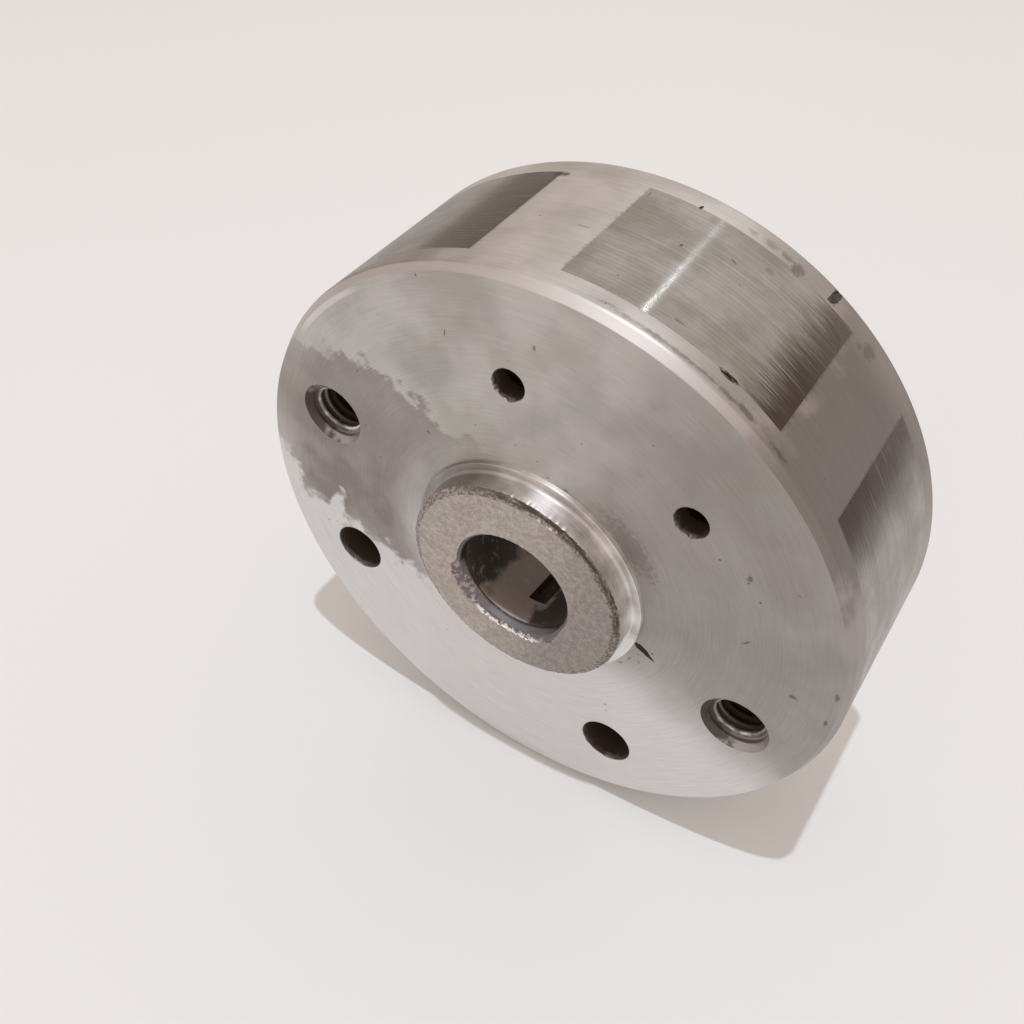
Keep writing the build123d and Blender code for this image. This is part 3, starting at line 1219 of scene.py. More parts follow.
@dataclass(frozen=True)
class ChippedSteel(Finish):
    """The mouth of the bore, battered bright where a tool or a nut has hit it.

    The eye gets a thin line of glinting fresh metal along the lip below, mottled purple-grey old rust on the
    left and a smooth dull chamfer inside.
    """

    name: str = "chipped_mild_steel"
    fresh: str = "#f2f0ef"
    smooth: str = "#7f7b7c"
    rust: str = "#84797c"
    speck: str = "#b5aeae"
    bore: str = "#51463f"
    lip_depth: float = 0.16
    fresh_from: float = 160.0
    fresh_to: float = 226.0
    bore_radius: float = 6.0

    def paint(self, spot: SurfacePlace) -> None:
        """Fill the material's nodes.

        Args:
            spot: the surface's coordinates.
        """
        add = spot.graph.add
        grain = spot.patches(0.5, detail=4.0)
        uneven = add("MapRange", {0: grain, 1: 0.3, 2: 0.7, 3: -0.13, 4: 0.13})
        level = add("Math", {0: spot.height, 1: uneven}, operation="ADD")
        edge = spot.wheel.boss_top - self.lip_depth
        lip = add("MapRange", {0: level, 1: edge - 0.06, 2: edge + 0.06}, **SOFT)
        fresh = spot.where_all(lip, spot.window(spot.full_angle, self.fresh_from, self.fresh_to, 10.0))
        old = spot.window(spot.full_angle, 110.0, self.fresh_from, 10.0)
        mottled = add("MapRange", {0: grain, 1: 0.45, 2: 0.62}, **SOFT)
        rusty = spot.covered(self.rust, (mottled, self.speck))
        wall = add("MapRange", {0: spot.radius, 1: self.bore_radius + 0.14, 2: self.bore_radius + 0.04})
        dark = add("MapRange", {0: grain, 1: 0.46, 2: 0.34, 4: 0.4}, **SOFT)
        tone = spot.covered(
            self.smooth, (old, rusty), (fresh, self.fresh), (wall, self.bore), (dark, self.rust))
        rough = add("MapRange", {0: fresh, 3: 0.62, 4: 0.3})
        self.lay(spot, tone, rough, grain, 0.09, 0.6)


@dataclass(frozen=True)
class ReamedBore(Finish):
    """The reamed steel bore, browned by thin dry rust, with painted shade on either side.

    The eye gets a smooth grey-brown wall between about 160 and 210 degrees, which painted shade darkens to
    near black on the left and on the right. The thin rust hides most of the metal, so the wall is only partly
    metallic.
    """

    name: str = "reamed_browned_steel"
    wall: str = "#a89b94"
    spots: str = "#c4b9ae"
    # The colour of the painted shade.
    soot: str = "#352d27"
    roughness: float = 0.5

    def paint(self, spot: SurfacePlace) -> None:
        """Fill the material's nodes.

        Args:
            spot: the surface's coordinates.
        """
        add = spot.graph.add
        # Painted shade: the wall goes near black below about 160 and above about 210 degrees.
        wander = add("MapRange", {0: spot.patches(2.2), 1: 0.3, 2: 0.7, 3: -9.0, 4: 9.0})
        turn = add("Math", {0: spot.full_angle, 1: wander}, operation="ADD")
        left = add("MapRange", {0: turn, 1: 168.0, 2: 152.0, 4: 0.9}, **SOFT)
        right = add("MapRange", {0: turn, 1: 206.0, 2: 216.0, 4: 0.85}, **SOFT)
        dark = add("Math", {0: left, 1: right}, operation="MAXIMUM")
        blots = add("MapRange", {0: spot.patches(0.9, shift=3.0), 1: 0.58, 2: 0.74, 4: 0.5}, **SOFT)
        tone = spot.covered(self.wall, (dark, self.soot), (blots, self.spots))
        self.lay(spot, tone, self.roughness, spot.grooves(0.2, 4.0), 0.02, 0.2, bare=0.3)


@dataclass(frozen=True)
class TurnedSheets(Finish):
    """Electrical steel sheets, turned flush with the rim; the tool has burnished the grooves' floors.

    The eye gets an olive-grey satin metal with short scratches round the rim, a brown oxide with painted dark
    reflection towards the ends of the poles, and painted dark reflection over the left pole. The grooves'
    floors mirror a lamp as one thin bright line along the rim's width.
    """

    name: str = "turned_electrical_steel"
    light: str = "#aeaba9"
    olive: str = "#9b9890"
    # brown is a brown oxide with painted dark reflection; the dark olive below is painted dark reflection.
    brown: str = "#4e413e"
    dark_olive: str = "#534d45"
    scratch: str = "#d5d6d6"
    grime: str = "#3b302a"
    roughness: float = 0.44
    scratch_pitch: float = 0.11
    feed: float = 0.06
    groove_slope: float = 0.5
    burnished: float = 0.4

    def paint(self, spot: SurfacePlace) -> None:
        """Fill the material's nodes.

        Args:
            spot: the surface's coordinates.
        """
        add = spot.graph.add
        streaks = spot.grooves(self.scratch_pitch, 3.0, detail=3.0)
        cloud = add("MapRange", {0: spot.patches(4.0, shift=41.0), 1: 0.35, 2: 0.65}, **SOFT)
        # Brown oxide and painted dark reflection towards the ends of the centre and right poles.
        film = self.brown_film(spot, streaks)
        # Painted dark reflection on the left pole: darkest from 28 to 46 degrees, a little darker over the
        # rest.
        shadow = spot.window(spot.angle, 28.0, 46.0, 5.0, 0.9)
        left = spot.window(spot.angle, 30.0, 75.0, 3.0, 0.35)
        shadow = add("Math", {0: shadow, 1: left}, operation="MAXIMUM")
        scratches = spot.grooves(0.1, 6.0, detail=1.0)
        scratches = add("MapRange", {0: scratches, 1: 0.64, 2: 0.74, 4: 0.28}, **SOFT)
        tone = spot.covered(
            self.light, (cloud, self.olive), (film, self.brown), (shadow, self.dark_olive),
            (spot.marks(RIM_MARKS), self.grime), (scratches, self.scratch))
        sheet = add("Attribute", out="Fac", attribute_name="sheet_tone")
        level = add("MapRange", {0: sheet, 3: 0.96, 4: 1.03})
        lines = add("MapRange", {0: streaks, 1: 0.3, 2: 0.7, 3: 0.88, 4: 1.1})
        level = add("Math", {0: level, 1: lines}, operation="MULTIPLY")
        tone = spot.brightened(tone, level)
        relief = add("Bump", {"Strength": 0.15, "Distance": 0.02 * MM, "Height": streaks})
        satin = add("BsdfPrincipled", {
            "Base Color": tone, "Metallic": 1.0, "Roughness": self.roughness, "Anisotropic": 0.6,
            "Tangent": spot.turning_direction(), "Normal": relief,
        })
        bright = add("BsdfPrincipled", {
            "Base Color": tone, "Metallic": 1.0, "Roughness": 0.12, "Anisotropic": 1.0,
            "Tangent": spot.turning_direction(), "Normal": spot.scallops(self.feed, self.groove_slope),
        })
        shader = add("MixShader", {0: self.burnished, 1: satin, 2: bright})
        add("OutputMaterial", {"Surface": shader})

    def brown_film(self, spot: SurfacePlace, streaks: Socket) -> Socket:
        """The brown oxide and painted dark reflection on the right of the centre pole and the left of the
        right pole.

        Args:
            spot: the surface's coordinates.
            streaks: the scratches, along which the film frays.

        Returns:
            How brown the steel is, from 0 to 1.
        """
        add = spot.graph.add
        fray = add("MapRange", {0: streaks, 1: 0.3, 2: 0.7, 3: -2.2, 4: 2.2})
        angle = add("Math", {0: spot.angle, 1: fray}, operation="ADD")
        centre = spot.window(angle, -27.0, -13.5, 4.0)
        right = spot.window(angle, -43.0, -27.0, 6.0)
        film = add("Math", {0: centre, 1: right}, operation="MAXIMUM")
        front = add("MapRange", {0: spot.height, 1: 2.0, 2: 12.0, 3: 0.7, 4: 0.97})
        return spot.where_all(film, front)


@dataclass(frozen=True)
class CastInMetal(Finish):
    """A metal that is sealed inside the casting: bare, clean and dull.

    Attributes:
        name: what it is and how its surface was made.
        light: its lighter colour.
        dark: its darker colour.
        grain: size of its grain.
        roughness: how dull it is.
        relief: how deep its grain is.
    """

    light: str = "#8b8785"
    dark: str = "#6f6a68"
    grain: float = 0.8
    roughness: float = 0.5
    relief: float = 0.03

    def paint(self, spot: SurfacePlace) -> None:
        """Fill the material's nodes.

        Args:
            spot: the surface's coordinates.
        """
        add = spot.graph.add
        grain = spot.patches(self.grain, detail=4.0)
        share = add("MapRange", {0: grain, 1: 0.35, 2: 0.65}, **SOFT)
        tone = spot.covered(self.light, (share, self.dark))
        rough = add("MapRange", {0: grain, 3: self.roughness - 0.08, 4: self.roughness + 0.08})
        self.lay(spot, tone, rough, grain, self.relief, 0.4)


@dataclass(frozen=True)
class FloorPaint(Finish):
    """A smooth pale table top under the wheel, plain but for faint clouds."""

    name: str = "pale_table_paint"
    colour: str = "#dfe0e0"
    cloud_size: float = 120.0

    def paint(self, spot: SurfacePlace) -> None:
        """Fill the material's nodes.

        Args:
            spot: the surface's coordinates.
        """
        add = spot.graph.add
        level = add("MapRange", {0: spot.patches(self.cloud_size, 1.0), 3: 0.985, 4: 1.015})
        tone = spot.brightened(linear(self.colour)[:3], level)
        shader = add("BsdfPrincipled", {"Base Color": tone, "Roughness": 0.6, "Specular IOR Level": 0.2})
        add("OutputMaterial", {"Surface": shader})


@dataclass
class SheetStack:
    """The laminated pole shoes: thin sheets stacked along the axis and turned flush with the rim.

    Attributes:
        wheel: the wheel's shared sizes.
        finish: the sheets' material.
        arc: how far a shoe runs round the rim.
        depth: how deep it goes in from the rim.
        inner_width: its width at its inner end.
        magnet_width: width of the magnet that sits in it.
        seat_depth: how deep the magnet sits.
        front_margin: how far the stack stays behind the front face.
        length: length of the stack.
        sheet: thickness of one sheet.
        joint: the gap between two sheets.
        rivet_diameter: diameter of the rivet holes.
        rivet_margin: distance from the rim to a rivet's axis.
        rivet_spread: angle from the pole's middle to a rivet.
        tone_seed: chooses which sheets are lighter.
    """

    wheel: Wheel
    finish: Material
    arc: float = 38.3
    depth: float = 9.4
    inner_width: float = 16.0
    magnet_width: float = 11.0
    seat_depth: float = 1.0
    front_margin: float = 3.05
    length: float = 15.0
    sheet: float = 0.5
    joint: float = 0.008
    rivet_diameter: float = 2.2
    rivet_margin: float = 4.1
    rivet_spread: float = 12.8
    tone_seed: int = 35

    @property
    def top(self) -> float:
        """Height of the stack's front end."""
        return self.wheel.width - self.front_margin

    @property
    def bottom(self) -> float:
        """Height of the stack's rear end."""
        return self.top - self.length

    def outline(self, pole: Pole, height: float, overrun: float = 0.0, arc_steps: int = 76) -> list[Vector]:
        """The outline of a shoe at a height.

        Args:
            pole: which pole it is.
            height: the height of the outline.
            overrun: how far it is carried past the rim; 0 gives it the rim's own curve.
            arc_steps: how many steps that curve takes.

        Returns:
            The outline's points in metres.
        """
        inner = self.wheel.radius - self.depth
        seat = inner + self.seat_depth
        half_inner, half_magnet = self.inner_width / 2, self.magnet_width / 2
        rim = [math.radians(self.arc * (step / arc_steps - 0.5)) for step in range(arc_steps + 1)]
        points = [(self.wheel.radius * math.cos(turn), self.wheel.radius * math.sin(turn)) for turn in rim]
        if overrun:
            end_out, end_side = points[-1]
            slope = (end_side - half_inner) / (end_out - inner)
            reach = self.wheel.radius + overrun
            half_reach = half_inner + slope * (reach - inner)
            points = [(reach, -half_reach), (reach, half_reach)]
        points += [(inner, half_inner), (inner, half_magnet), (seat, half_magnet)]
        points += [(seat, -half_magnet), (inner, -half_magnet), (inner, -half_inner)]
        return [
            self.wheel.place(math.hypot(out, side), pole.value + math.degrees(math.atan2(side, out)), height)
            for out, side in points
        ]

    def pocket(self, pole: Pole, lining: Material) -> Piece:
        """The tool that opens the casting for one shoe."""
        outline = self.outline(pole, self.bottom, overrun=1.0)
        return prism(f"pocket_{pole.word}", outline, FRONTWARD * (self.length * MM), lining)

    def stacking_tree(self) -> bpy.types.NodeTree:
        """The tree that repeats one sheet along the axis, each a little lighter or darker.

        Returns:
            The node tree.
        """
        tree = new_tree("sheet_stacking", Geometry="Geometry", Sheets="Int", Step="Vector", Tone_Seed="Int",
                        Finish="Material")
        source = tree.nodes.new("NodeGroupInput").outputs
        add = Graph(tree).add
        spacing = {"Count": source["Sheets"], "Offset": source["Step"]}
        row = add("GeometryNodeMeshLine", spacing, mode="OFFSET")
        sheets = add("GeometryNodeInstanceOnPoints", {"Points": row, "Instance": source["Geometry"]})
        tone = add("FunctionNodeRandomValue", {"Seed": source["Tone Seed"]}, out=1, data_type="FLOAT")
        named = {"Geometry": sheets, "Name": "sheet_tone", "Value": tone}
        sheets = add("GeometryNodeStoreNamedAttribute", named, data_type="FLOAT", domain="INSTANCE")
        solid = add("GeometryNodeRealizeInstances", {"Geometry": sheets})
        solid = add("GeometryNodeSetMaterial", {"Geometry": solid, "Material": source["Finish"]})
        add("NodeGroupOutput", {"Geometry": solid})
        return tree

    def build(self, pole: Pole, tree: bpy.types.NodeTree) -> Piece:
        """Build one shoe.

        Args:
            pole: which pole it is.
            tree: the stacking tree.

        Returns:
            The stack of sheets as one plain mesh.
        """
        lift = FRONTWARD * ((self.sheet - self.joint) * MM)
        stack = prism(f"pole_sheets_{pole.word}", self.outline(pole, self.bottom), lift, self.finish)
        overrun = 1.0
        holes = []
        for side in (1, -1):
            hole = BlindHole(
                self.wheel, self.wheel.radius - self.rivet_margin, pole.value + side * self.rivet_spread,
                self.rivet_diameter / 2, self.sheet + 2 * overrun, self.bottom + self.sheet + overrun,
                mouth_ease=0.0)
            holes.append(hole.tool(f"rivet_hole_{side}", self.finish, around=32))
        cut_away(stack, holes)
        run_tree(stack, tree, {
            "Sheets": round(self.length / self.sheet), "Step": (0.0, -self.sheet * MM, 0.0),
            "Tone Seed": self.tone_seed, "Finish": self.finish})
        shade(stack)
        return stack


def new_tree(name: str, **inputs: str) -> bpy.types.NodeTree:
    """Make an empty Geometry Nodes tree that gives geometry and has named inputs.

    Args:
        name: the tree's name.
        **inputs: the kind of each input, whose name has an underscore for each space.

    Returns:
        The tree.
    """
    tree = bpy.data.node_groups.new(name, "GeometryNodeTree")
    for label, kind in inputs.items():
        tree.interface.new_socket(label.replace("_", " "), in_out="INPUT", socket_type=f"NodeSocket{kind}")
    tree.interface.new_socket("Geometry", in_out="OUTPUT", socket_type="NodeSocketGeometry")
    return tree


def run_tree(piece: Piece, tree: bpy.types.NodeTree, values: dict[str, object]) -> None:
    """Run a Geometry Nodes tree on an object and keep what it makes as a plain mesh.

    Args:
        piece: the object; its mesh is replaced.
        tree: the tree.
        values: what its named inputs get, set by the sockets' identifiers.
    """
    modifier = piece.modifiers.new(tree.name, "NODES")
    modifier.node_group = tree
    for item in tree.interface.items_tree:
        if item.item_type == "SOCKET" and item.in_out == "INPUT" and item.name in values:
            modifier[item.identifier] = values[item.name]
    make_plain(piece)


@dataclass
class BlindHole:
    """A hole straight down from a surface of the wheel.

    Attributes:
        wheel: the wheel's shared sizes.
        circle: distance of its axis from the wheel's axis.
        angle: its angle round the wheel.
        radius: its radius.
        depth: its depth.
        surface: height of the surface that it starts from.
        mouth: radius of its countersink, 0 for none.
        mouth_depth: depth of its countersink.
        mouth_ease: how far its edge is rounded over.
        burr: how ragged its edge is.
        burr_side: the way, round the hole from +X, on which it is ragged.
    """

    wheel: Wheel
    circle: float
    angle: float
    radius: float
    depth: float
    surface: float
    mouth: float = 0.0
    mouth_depth: float = 0.0
    mouth_ease: float = 0.07
    burr: float = 0.0
    burr_side: float = 240.0

    def place(self, radius: float, angle: float, height: float) -> Vector:
        """Find a point round the hole's own axis.

        Args:
            radius: its distance from that axis.
            angle: its angle round that axis, from +X.
            height: its height above the rear face.

        Returns:
            The point in metres.
        """
        turn = math.radians(angle)
        centre = self.wheel.place(self.circle, self.angle, height)
        return centre + Vector((radius * math.cos(turn), 0.0, radius * math.sin(turn))) * MM

    def ragged(self, radius: float, angle: float, height: float) -> tuple[float, float]:
        """Move a point of the wall in or out where the edge is ragged; the axis stays where it is.

        Args:
            radius: the point's distance from the hole's axis.
            angle: its angle round that axis.
            height: its height.

        Returns:
            Its new radius and height.
        """
        if radius == 0.0:
            return radius, height
        near_edge = smoothstep(0.9, 0.0, self.surface - height)
        apart = abs((angle - self.burr_side + 180.0) % 360.0 - 180.0)
        turn = math.radians(angle)
        jag = noise.noise(Vector((math.cos(turn), math.sin(turn), height * 0.4)) * 4.5)
        return radius + self.burr * near_edge * smoothstep(95.0, 30.0, apart) * jag, height

    def tool(self, name: str, lining: Material, around: int = 96) -> Piece:
        """The tool that cuts the hole.

        Args:
            name: the tool's name.
            lining: the material of the hole.
            around: how many steps the wall takes round.

        Returns:
            A closed object in the hole's place.
        """
        top = self.surface
        above = top + 1.0
        edge = self.mouth or self.radius
        corners = [
            Corner(0.0, above),
            Corner(edge + self.mouth_ease, above),
            Corner(edge + self.mouth_ease, top),
            Corner(edge + self.mouth_ease * 0.3, top - self.mouth_ease * 0.3),
            Corner(edge, top - self.mouth_ease, step=0.2),
        ]
        if self.mouth:
            corners.append(Corner(self.radius, top - self.mouth_depth, step=1.0))
        corners += [Corner(self.radius, top - self.depth), Corner(0.0, top - self.depth)]
        rings = outline_rings(corners)
        return turned_piece(name, rings, around, self.place, [lining], self.ragged if self.burr else None)


@dataclass
class PullerThread:
    """The coarse thread in a puller hole, swept along its helix.

    Attributes:
        wheel: the wheel's shared sizes.
        finish: its material.
        pitch: distance from one turn to the next.
        crest: how far the thread stands in from the wall.
        crest_flat: width of its crest.
        root_flat: the gap between two turns at the wall.
        start_depth: how far below the face the first turn starts.
        depth: how deep the thread goes.
        bedding: how far its root is sunk into the wall.
        steps_per_turn: how many steps one turn takes.
        run_in: the share of its length over which it grows out of the wall.
        run_in_size: its size at the start, as a share of the full one.
    """

    wheel: Wheel
    finish: Material
    pitch: float = 1.0
    crest: float = 0.56
    crest_flat: float = 0.2
    root_flat: float = 0.12
    start_depth: float = 0.75
    depth: float = 10.5
    bedding: float = 0.02
    steps_per_turn: int = 64
    run_in: float = 0.03
    run_in_size: float = 0.05

    def helix_tree(self) -> bpy.types.NodeTree:
        """The tree that sweeps the thread's section along a helix.

        Returns:
            The node tree.
        """
        tree = new_tree("puller_thread", Turns="Float", Pitch="Float", Wall_Radius="Float", Crest="Float",
                        Crest_Flat="Float", Root_Flat="Float", Finish="Material")
        source = tree.nodes.new("NodeGroupInput").outputs
        add = Graph(tree).add
        rise = add("Math", {0: source["Turns"], 1: source["Pitch"]}, operation="MULTIPLY")
        helix = add("GeometryNodeCurveSpiral", {
            "Resolution": self.steps_per_turn, "Rotations": source["Turns"], "Height": rise,
            "Start Radius": source["Wall Radius"], "End Radius": source["Wall Radius"]})
        helix = add("GeometryNodeSetCurveNormal", {"Curve": helix}, mode="Z_UP")
        share = add("GeometryNodeSplineParameter", out="Factor")
        fade_in = add("MapRange", {"Value": share, "From Max": self.run_in, "To Min": self.run_in_size})
        half_root = add("Math", {0: source["Pitch"], 1: source["Root Flat"]}, operation="SUBTRACT")
        half_root = add("Math", {0: half_root, 1: 0.5}, operation="MULTIPLY")
        half_crest = add("Math", {0: source["Crest Flat"], 1: 0.5}, operation="MULTIPLY")
        points = {}
        for number, (reach, half, sign) in enumerate(
                ((0.0, half_root, -1.0), (source["Crest"], half_crest, -1.0),
                 (source["Crest"], half_crest, 1.0), (0.0, half_root, 1.0))):
            side = add("Math", {0: half, 1: sign}, operation="MULTIPLY")
            points[f"Point {number + 1}"] = add("CombineXYZ", {"X": reach, "Y": side})
        section = add("GeometryNodeCurvePrimitiveQuadrilateral", points, mode="POINTS")
        sweep = add("GeometryNodeCurveToMesh", {
            "Curve": helix, "Profile Curve": section, "Scale": fade_in, "Fill Caps": True})
        solid = add("GeometryNodeRealizeInstances", {"Geometry": sweep})
        solid = add("GeometryNodeSetMaterial", {"Geometry": solid, "Material": source["Finish"]})
        add("NodeGroupOutput", {"Geometry": solid})
        return tree

    def build(self, name: str, hole: dict, tree: bpy.types.NodeTree) -> Piece:
        """Build the thread in one puller hole.

        Args:
            name: the new object's name.
            hole: the hole's mount in the record.
            tree: the helix tree.

        Returns:
            The thread as a plain mesh in its hole.
        """
        thread = bpy.data.objects.new(name, bpy.data.meshes.new(name))
        bpy.context.scene.collection.objects.link(thread)
        run_tree(thread, tree, {
            "Turns": (self.depth - self.start_depth) / self.pitch, "Pitch": self.pitch * MM,
            "Wall Radius": (hole["dims"]["r_mm"] + self.bedding) * MM, "Crest": self.crest * MM,
            "Crest Flat": self.crest_flat * MM, "Root Flat": self.root_flat * MM, "Finish": self.finish})
        start = -(self.wheel.width - self.start_depth) * MM
        into_hole = Matrix.Rotation(math.radians(-90.0), 4, "X")
        thread.data.transform(Matrix.Translation((hole["pos_m"][0], start, hole["pos_m"][2])) @ into_hole)
        mesh = bmesh.new()
        mesh.from_mesh(thread.data)
        bmesh.ops.recalc_face_normals(mesh, faces=mesh.faces)
        mesh.to_mesh(thread.data)
        mesh.free()
        shade(thread)
        return thread


@dataclass
class Casting:
    """The aluminium wheel, with its pockets, holes and the marks of its use.

    Attributes:
        wheel: the wheel's shared sizes.
        face: finish of the turned faces.
        rim: finish of the turned rim.
        lining: finish of the plain holes and the pockets.
        tapped: finish of the puller holes.
        grime: finish of the dents.
        shoes: the pole shoes that it is cast round.
        bevel_depth: how far the front bevel cuts in from the rim.
        bevel_length: how far it reaches back from the front face.
        rear_bevel: size of the bevel at the rear.
        edge_ease: how far the turned edges are rounded over.
        puller_angle: angle of the puller holes to either side of the centre pole.
        puller_depth: their depth.
        puller_mouth: radius of their countersink.
        puller_mouth_depth: its depth.
        locating_circle: distance of the small holes from the axis.
        locating_angle: their angle to either side.
        locating_radius: their radius.
        locating_depth: their depth.
        weight_circle: distance of the medium holes from the axis.
        weight_angle: their angle to either side.
        weight_radius: their radius.
        weight_depth: their depth.
        around: how many steps the mesh takes round the axis.
    """

    wheel: Wheel
    face: Material
    rim: Material
    lining: Material
    tapped: Material
    grime: Material
    shoes: SheetStack
    bevel_depth: float = 0.55
    bevel_length: float = 1.05
    rear_bevel: float = 0.3
    edge_ease: float = 0.1
    puller_angle: float = 90.0
    puller_depth: float = 12.0
    puller_mouth: float = 3.45
    puller_mouth_depth: float = 0.7
    locating_circle: float = 21.5
    locating_angle: float = 26.35
    locating_radius: float = 1.6
    locating_depth: float = 12.0
    weight_circle: float = 24.1
    weight_angle: float = 135.0
    weight_radius: float = 2.8
    weight_depth: float = 5.2
    around: int = 720

    def blank(self) -> Piece:
        """Turn the blank that is cut and drilled.

        Returns:
            The blank.
        """
        wheel, ease = self.wheel, self.edge_ease
        corners = [
            Corner(wheel.joint_radius, 0.0, 0.0, step=4.0),
            Corner(wheel.radius - self.rear_bevel, 0.0, ease, 1),
            Corner(wheel.radius, self.rear_bevel, ease, 1, 1.5),
            Corner(wheel.radius, wheel.width - self.bevel_length, ease, 1, 0.4),
            Corner(wheel.radius - self.bevel_depth, wheel.width, ease, step=2.5),
            Corner(wheel.joint_radius, wheel.width, 0.0),
        ]
        skins = [self.face, self.rim]
        return turned_piece("wheel_casting", outline_rings(corners), self.around, wheel.place, skins)

    def puller_holes(self, record: dict) -> list[Piece]:
        """The tools for the two tapped holes in the front face.

        Args:
            record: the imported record, whose mounts give these holes.

        Returns:
            The tools.
        """
        wheel = self.wheel
        radius = mount(record, "puller_hole_left")["dims"]["r_mm"]
        circle = mount(record, "puller_pattern")["dims"]["pcd_mm"] / 2
        tools = []
        for side in (1, -1):
            hole = BlindHole(wheel, circle, side * self.puller_angle, radius, self.puller_depth, wheel.width,
                             self.puller_mouth, self.puller_mouth_depth)
            tools.append(hole.tool(f"hole_puller_{side}", self.tapped))
        return tools

    def plain_holes(self) -> list[Piece]:
        """The tools for the four plain holes in the front face.

        Returns:
            The tools.
        """
        locating = (self.locating_circle, self.locating_angle, self.locating_radius, self.locating_depth)
        weight = (self.weight_circle, self.weight_angle, self.weight_radius, self.weight_depth)
        tools = []
        for kind, (circle, angle, radius, depth), side, burr in (
                ("locating", locating, 1, 0.3), ("locating", locating, -1, 0.22),
                ("weight", weight, 1, 0.1), ("weight", weight, -1, 0.12)):
            hole = BlindHole(self.wheel, circle, side * angle, radius, depth, self.wheel.width, burr=burr)
            tools.append(hole.tool(f"hole_{kind}_{side}", self.lining))
        return tools

    def dent(
        self, name: str, angle: float, behind: float, sizes: tuple[float, float, float], slant: float = 0.0,
    ) -> Piece:
        """The tool for a dent in the rim.

        Args:
            name: the tool's name.
            angle: where it is round the wheel.
            behind: how far behind the front face it is.
            sizes: its half sizes along the axis, round the rim and into the rim.
            slant: how far its length is turned from the axis towards the way round.

        Returns:
            The tool.
        """
        out = self.wheel.outward(angle)
        beside = FRONTWARD.cross(out)
        turn = math.radians(slant)
        along = FRONTWARD * math.cos(turn) + beside * math.sin(turn)
        across = beside * math.cos(turn) - FRONTWARD * math.sin(turn)
        centre = self.wheel.place(self.wheel.radius, angle, self.wheel.width - behind)
        return lump(name, centre, (along, across, out), sizes, self.grime)

    def nick(self, radius: float, angle: float, heading: float, sizes: tuple[float, float, float]) -> Piece:
        """The tool for a thorn-shaped nick in the front face.

        Args:
            radius: how far its middle is from the axis.
            angle: where its middle is round the wheel.
            heading: the way its point looks, as an angle round the wheel.
            sizes: its half sizes along its length, across it and into the face.

        Returns:
            The tool.
        """
        centre = self.wheel.place(radius, angle, self.wheel.width)
        out = self.wheel.outward(heading)
        axes = (out, FRONTWARD.cross(out), FRONTWARD)
        return lump("nick", centre, axes, sizes, self.grime, taper=0.8)

    def build(self, record: dict) -> Piece:
        """Build the casting.

        Args:
            record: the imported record.

        Returns:
            The casting, cut and shaded.
        """
        casting = self.blank()
        cut_away(casting, [self.shoes.pocket(pole, self.lining) for pole in Pole] + self.plain_holes())
        cut_away(casting, self.puller_holes(record))
        cut_away(casting, [
            self.dent("dent_rear", -13.8, 19.4, (1.15, 0.45, 0.3), slant=12.0),
            self.dent("dent_patch_edge", -8.6, 2.9, (0.17, 0.75, 0.16), slant=3.0),
            self.dent("dent_small", 10.6, 18.2, (0.3, 0.15, 0.12), slant=15.0),
            self.nick(13.75, -87.7, -104.0, (1.4, 0.6, 0.55)),
        ])
        shade(casting)
        return casting


